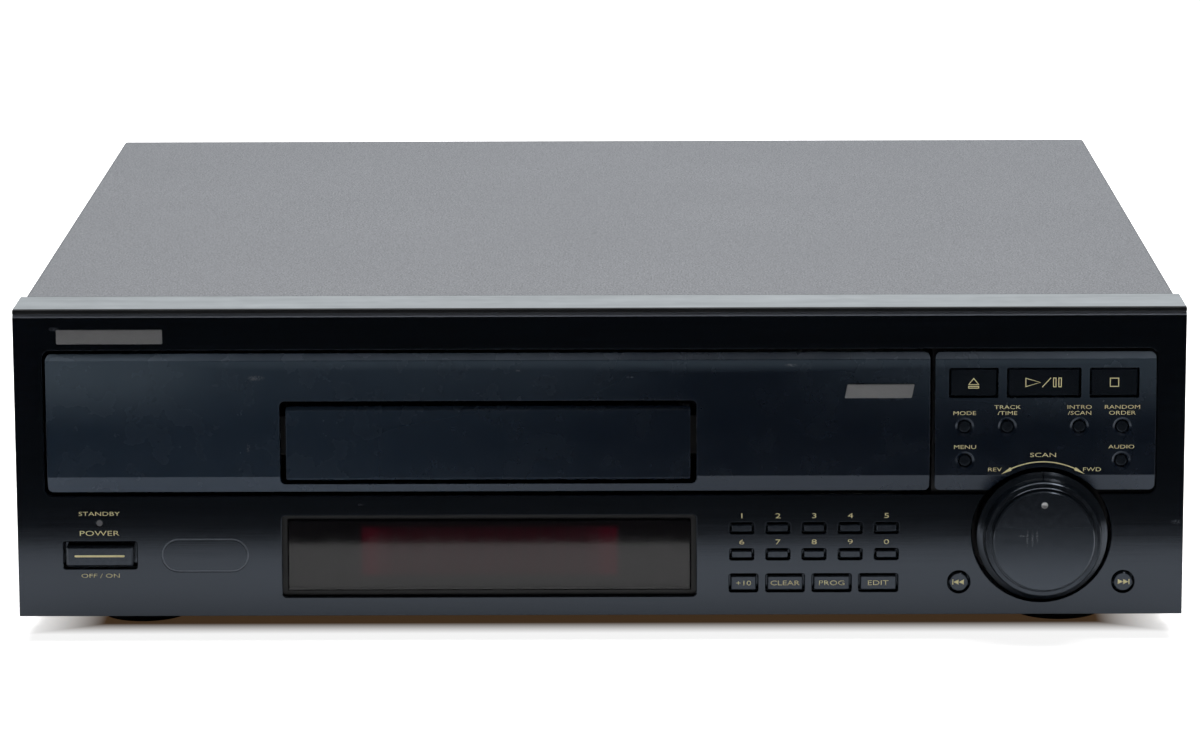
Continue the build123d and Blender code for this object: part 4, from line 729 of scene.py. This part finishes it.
def display_mask():
    """The mask close behind the window, with the tube's filter in it."""
    low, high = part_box("display_window")
    behind, thickness, margin = 0.1 * mm, 0.2 * mm, 0.2
    middle = Vector(((low.x + high.x) / 2, high.y + behind, (low.z + high.z) / 2))
    half_width, half_height = (high.x - low.x) / 2 / mm - margin, (high.z - low.z) / 2 / mm - margin
    outline = rectangle(-half_width, -half_height, 2 * half_width, 2 * half_height)
    shape = bmesh.new()
    prism(shape, outline, thickness, Matrix.Translation(middle) @ Matrix.Rotation(-pi / 2, 4, "X"))
    finish_mesh("display_mask", shape, display_red(low, high), "cabinet")


# ---- Screws, sockets and the small things behind ----
def cross_screw(name, place, direction, radius, head):
    """A pan head with a cross recess, standing on a face. Radius and head in millimetres."""
    turn = Vector((0, 0, 1)).rotation_difference(Vector(direction)).to_matrix().to_4x4()
    matrix = Matrix.Translation(place) @ turn
    profile = [(radius - 0.05, -0.02), (radius, head * 0.225), (radius * 0.96, head * 0.45),
               (radius * 0.8, head * 0.85), (radius * 0.55, head * 0.98), (radius * 0.12, head), (0, head)]
    screw = revolved(name, profile, matrix, surfaces["screw_black"], "cabinet")
    half_length, half_width, recess = radius * 0.6, radius * 0.1, head * 0.55
    slot = rectangle(-half_length, -half_width, 2 * half_length, 2 * half_width)
    cutter = bmesh.new()
    for degrees_round in (45, 135):
        spin = Matrix.Rotation(radians(degrees_round), 4, "Z")
        prism(cutter, slot, head * mm, matrix @ spin @ Matrix.Translation((0, 0, (head - recess) * mm)))
    cutter_mesh = bpy.data.meshes.new(name + "_cutter")
    cutter.to_mesh(cutter_mesh)
    cutter.free()
    cutter_object = bpy.data.objects.new(name + "_cutter", cutter_mesh)
    bpy.context.scene.collection.objects.link(cutter_object)
    modifier = screw.modifiers.new("recess", "BOOLEAN")
    modifier.object, modifier.operation, modifier.solver = cutter_object, "DIFFERENCE", "EXACT"
    modifier.use_self = True
    bpy.context.view_layer.update()
    carved = bpy.data.meshes.new_from_object(screw.evaluated_get(bpy.context.evaluated_depsgraph_get()))
    screw.modifiers.clear()
    screw.data = carved
    bpy.data.objects.remove(cutter_object)
    return screw


def islands(node):
    """The low and high corners of each separate solid of a node."""
    shape = bmesh.new()
    shape.from_mesh(nodes[node].data)
    bmesh.ops.remove_doubles(shape, verts=shape.verts, dist=weld)
    left = set(shape.verts)
    found = []
    while left:
        group, front = set(), [left.pop()]
        while front:
            vertex = front.pop()
            group.add(vertex)
            for edge in vertex.link_edges:
                other = edge.other_vert(vertex)
                if other in left:
                    left.discard(other)
                    front.append(other)
        low, high = (Vector([pick(v.co[axis] for v in group) for axis in range(3)]) for pick in (min, max))
        found.append((low, high))
    shape.free()
    return sorted(found, key=lambda pair: tuple(round(value, 5) for value in pair[0]))


def dress_screws():
    """Detailed screws in place of the plain ones, on the sides and the rear."""
    cover_low, cover_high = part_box("top_cover")
    panel_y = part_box("rear_panel")[1].y
    for number, (low, high) in enumerate(islands("cover_screws")):
        middle = (low + high) / 2
        if high.y > panel_y + 1 * mm:
            direction, radius, head = (0, 1, 0), (high.x - low.x) / 2, high.y - panel_y
            middle.y = panel_y
        elif middle.x > 0:
            direction, radius, head = (1, 0, 0), (high.y - low.y) / 2, high.x - cover_high.x
            middle.x = cover_high.x
        else:
            direction, radius, head = (-1, 0, 0), (high.y - low.y) / 2, cover_low.x - low.x
            middle.x = cover_low.x
        screw = cross_screw(f"cover_screw_{number + 1}", middle, direction, radius / mm, head / mm)
        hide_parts("cover_screws")


jack_rim, jack_rise = 5.2, 0.62      # of the insulator under each phono socket's coloured collar
jack_mounts = [mount for mount in mounts if mount["kind"] == "pin"]
jack_place = {mount["name"]: [round(mount["pos_m"][axis] / mm) for axis in (0, 2)] for mount in jack_mounts}
jack_columns, jack_rows = zip(*jack_place.values())


def jack_color(name):
    """Yellow for the picture's column, and red over white for the sound's."""
    column, row = jack_place[name]
    if column == min(jack_columns):
        return "yellow"
    return "white" if row == min(jack_rows) else "red"


def dress_sockets():
    """A coloured collar over each phono socket's insulator, and the metal round the mini jacks."""
    panel_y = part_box("rear_panel")[1].y
    backwards = Matrix.Rotation(-pi / 2, 4, "X")
    mini_jack = [(4.05, 0), (5.45, 0), (5.25, 1.5), (4.05, 1.5)]
    for mount in mounts:
        place = Vector((mount["pos_m"][0], panel_y, mount["pos_m"][2]))
        matrix = Matrix.Translation(place) @ backwards
        name = mount["name"] + "_collar"
        if mount["kind"] == "pin":
            inner, rim, outer = mount["dims"]["r_mm"] + 0.1, jack_rim + 0.02, jack_rim + 0.4
            profile = [(rim, 0), (outer, 0), (outer, 1.0), (outer - 0.3, 1.3), (inner, 1.3),
                       (inner, jack_rise), (rim, jack_rise)]
            add_ring(name, profile, matrix, jack_colors[jack_color(mount["name"])])
        elif mount["name"].startswith("control_jack"):
            add_ring(name, mini_jack, matrix, surfaces["rod_steel"])


def print_rear():
    """Plain frames printed round the groups of sockets."""
    panel_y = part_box("rear_panel")[1].y
    phono_margin = 8.5
    groups = {
        "phono": (min(jack_columns) - phono_margin, max(jack_columns) + phono_margin, 20.0, 58.0),
        "mini": (-42.0, -26.0, 20.0, 58.0),
        "twenty_one_way": (-180.5, -119.5, 20.0, 80.0),
    }
    flat = Matrix(((-1, 0, 0, 0), (0, 0, 1, panel_y), (0, 1, 0, 0), (0, 0, 0, 1)))
    shape = bmesh.new()
    for left, right, low, high in groups.values():
        stroke(shape, [(-right, low), (-left, low), (-left, high), (-right, high)], line_width, flat)
    finish_mesh("rear_frames", shape, white_print, "cabinet")


def dress_turntable():
    """The rubber ring that the disc lies on."""
    low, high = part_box("turntable")
    spindle_stands, sunk, edge, crown = 2.5, 0.1, 0.25, 0.4
    inner, outer, shoulder = 15.2, 18.2, 0.4
    plate = high.z / mm - spindle_stands
    profile = [(inner, plate - sunk), (outer, plate - sunk), (outer, plate + edge),
               (outer - shoulder, plate + crown), (inner + shoulder, plate + crown), (inner, plate + edge)]
    axis = Matrix.Translation(((low.x + high.x) / 2, (low.y + high.y) / 2, 0))
    add_ring("turntable_rubber", profile, axis, surfaces["belt_rubber"], "turntable", steps=64)


# ---- Camera, light and ground ----
# The camera that took the photograph. Its place is from the middle of the panel's bottom edge.
camera_place = (0.01022, -1.80215, 0.44297)
camera_yaw, camera_pitch, camera_roll = radians(-0.318), radians(11.131), radians(-0.217)
camera_lens, camera_sensor = 153.84, 36.0


def add_camera():
    level = cos(camera_pitch)
    ahead = Vector((sin(camera_yaw) * level, cos(camera_yaw) * level, -sin(camera_pitch)))
    right = Vector((cos(camera_yaw), -sin(camera_yaw), 0))
    upward = right.cross(ahead)
    rolled_right = right * cos(camera_roll) + upward * sin(camera_roll)
    rolled_up = upward * cos(camera_roll) - right * sin(camera_roll)
    data = bpy.data.cameras.new("camera")
    data.lens, data.sensor_width = camera_lens, camera_sensor
    data.clip_start, data.clip_end = 0.05, 30.0
    camera = bpy.data.objects.new("camera", data)
    turn = Matrix((rolled_right, rolled_up, -ahead)).transposed().to_4x4()
    camera.matrix_world = Matrix.Translation(Vector(camera_place) + Vector((0, front_y, panel_z))) @ turn
    bpy.context.scene.collection.objects.link(camera)
    bpy.context.scene.camera = camera


def add_softbox(place, aim, size, watts):
    data = bpy.data.lights.new("softbox", "AREA")
    data.shape, data.size, data.size_y = "RECTANGLE", *size
    data.energy = watts
    lamp = bpy.data.objects.new("softbox", data)
    lamp.location = place
    lamp.rotation_mode = "QUATERNION"
    lamp.rotation_quaternion = (Vector(aim) - Vector(place)).to_track_quat("-Z", "Y")
    bpy.context.scene.collection.objects.link(lamp)


def add_world(ambient, background):
    """The world's strength: background for what camera, gloss and glass see, ambient for the rest."""
    world = bpy.data.worlds.new("world")
    bpy.context.scene.world = world
    world.use_nodes = True
    tree = world.node_tree
    shader = tree.nodes["Background"]
    rays = tree.nodes.new("ShaderNodeLightPath")
    seen = rays.outputs["Is Camera Ray"]
    for ray in ("Is Glossy Ray", "Is Transmission Ray"):
        either = tree.nodes.new("ShaderNodeMath")
        either.operation = "MAXIMUM"
        tree.links.new(seen, either.inputs[0])
        tree.links.new(rays.outputs[ray], either.inputs[1])
        seen = either.outputs[0]
    level = tree.nodes.new("ShaderNodeMapRange")
    tree.links.new(seen, level.inputs["Value"])
    level.inputs["To Min"].default_value = ambient
    level.inputs["To Max"].default_value = background
    tree.links.new(level.outputs[0], shader.inputs["Strength"])


def stage_mesh(name, corners, faces, surface):
    """A flat piece of the studio, which is no part of the player."""
    mesh = bpy.data.meshes.new(name)
    mesh.from_pydata(corners, [], faces)
    mesh.materials.append(surface.material)
    piece = bpy.data.objects.new(name, mesh)
    bpy.context.scene.collection.objects.link(piece)
    return piece


def add_ground():
    """A white floor that meets the white background, and goes to a warm shade under the player."""
    half = 4.0
    shade_side, white_side = cad_high.x - 28 * mm, cad_high.x
    shade_depth, white_depth = 40 * mm, 24 * mm      # in from the front and the back
    surface = Surface("floor_white", (0.9, 0.9, 0.9), 0.8, Specular_IOR_Level=0.1)
    sideways = surface.ramp(surface.calculate("ABSOLUTE", surface.axes[0]), shade_side, white_side)
    ahead = surface.ramp(surface.axes[1], cad_low.y + white_depth, cad_low.y + shade_depth, 1.0, 0.0)
    astern = surface.ramp(surface.axes[1], cad_high.y - shade_depth, cad_high.y - white_depth)
    clear = surface.most(sideways, ahead, astern)
    white = surface.mix(surface.noise(0.4, detail=3.0), (0.88, 0.88, 0.88), (0.91, 0.91, 0.91))
    surface.color_by(clear, (0.3, 0.17, 0.1), white)
    surface.set("Emission Color", surface.mix(clear, (0.045, 0.026, 0.013), (0.9, 0.9, 0.9)))
    surface.set("Emission Strength", surface.node("LightPath").outputs["Is Camera Ray"])
    corners = [(-half, -half, 0), (half, -half, 0), (half, half, 0), (-half, half, 0)]
    stage_mesh("floor", corners, [(0, 1, 2, 3)], surface)


def add_card():
    """A black card that lies before the player, stands up and turns over it, seen only in reflections."""
    near, far, roof_back = front_y - 0.146, front_y - 0.45, front_y + 0.02
    lift, top, half, roof_half = 2 * mm, 0.9, 0.75, 0.38
    surface = Surface("card_black", (0.01, 0.01, 0.011), 0.9)
    surface.color_by(surface.noise(0.3), (0.008, 0.008, 0.009), (0.012, 0.012, 0.013))
    corners = [(x, y, z) for y, z in ((near, lift), (far, lift), (far, top)) for x in (-half, half)]
    corners += [(x, y, top) for y in (far, roof_back) for x in (-roof_half, roof_half)]
    card = stage_mesh("card", corners, [(0, 1, 3, 2), (2, 3, 5, 4), (6, 7, 9, 8)], surface)
    card.visible_camera = card.visible_diffuse = card.visible_shadow = card.visible_transmission = False


bpy.context.view_layer.update()
add_camera()
add_world(ambient=0.5, background=1.0)
add_softbox(place=(0.1, 0.25, 1.6), aim=(0, 0, 0), size=(1.8, 1.4), watts=46)
add_ground()
add_card()
bpy.context.scene.view_settings.view_transform = "Standard"

print_keys()
print_power()
print_round_labels()
print_scan_arc()
print_symbols()
blank_plate("name_plate", "fascia_plate", -175.4, 102.75, 38.0, 5.2)
blank_plate("door_plate", "ld_door", 100.25, 82.75, 24.0, 5.0, slant=0.5)
knob_dimple()
display_mask()
dress_screws()
dress_sockets()
print_rear()
dress_turntable()
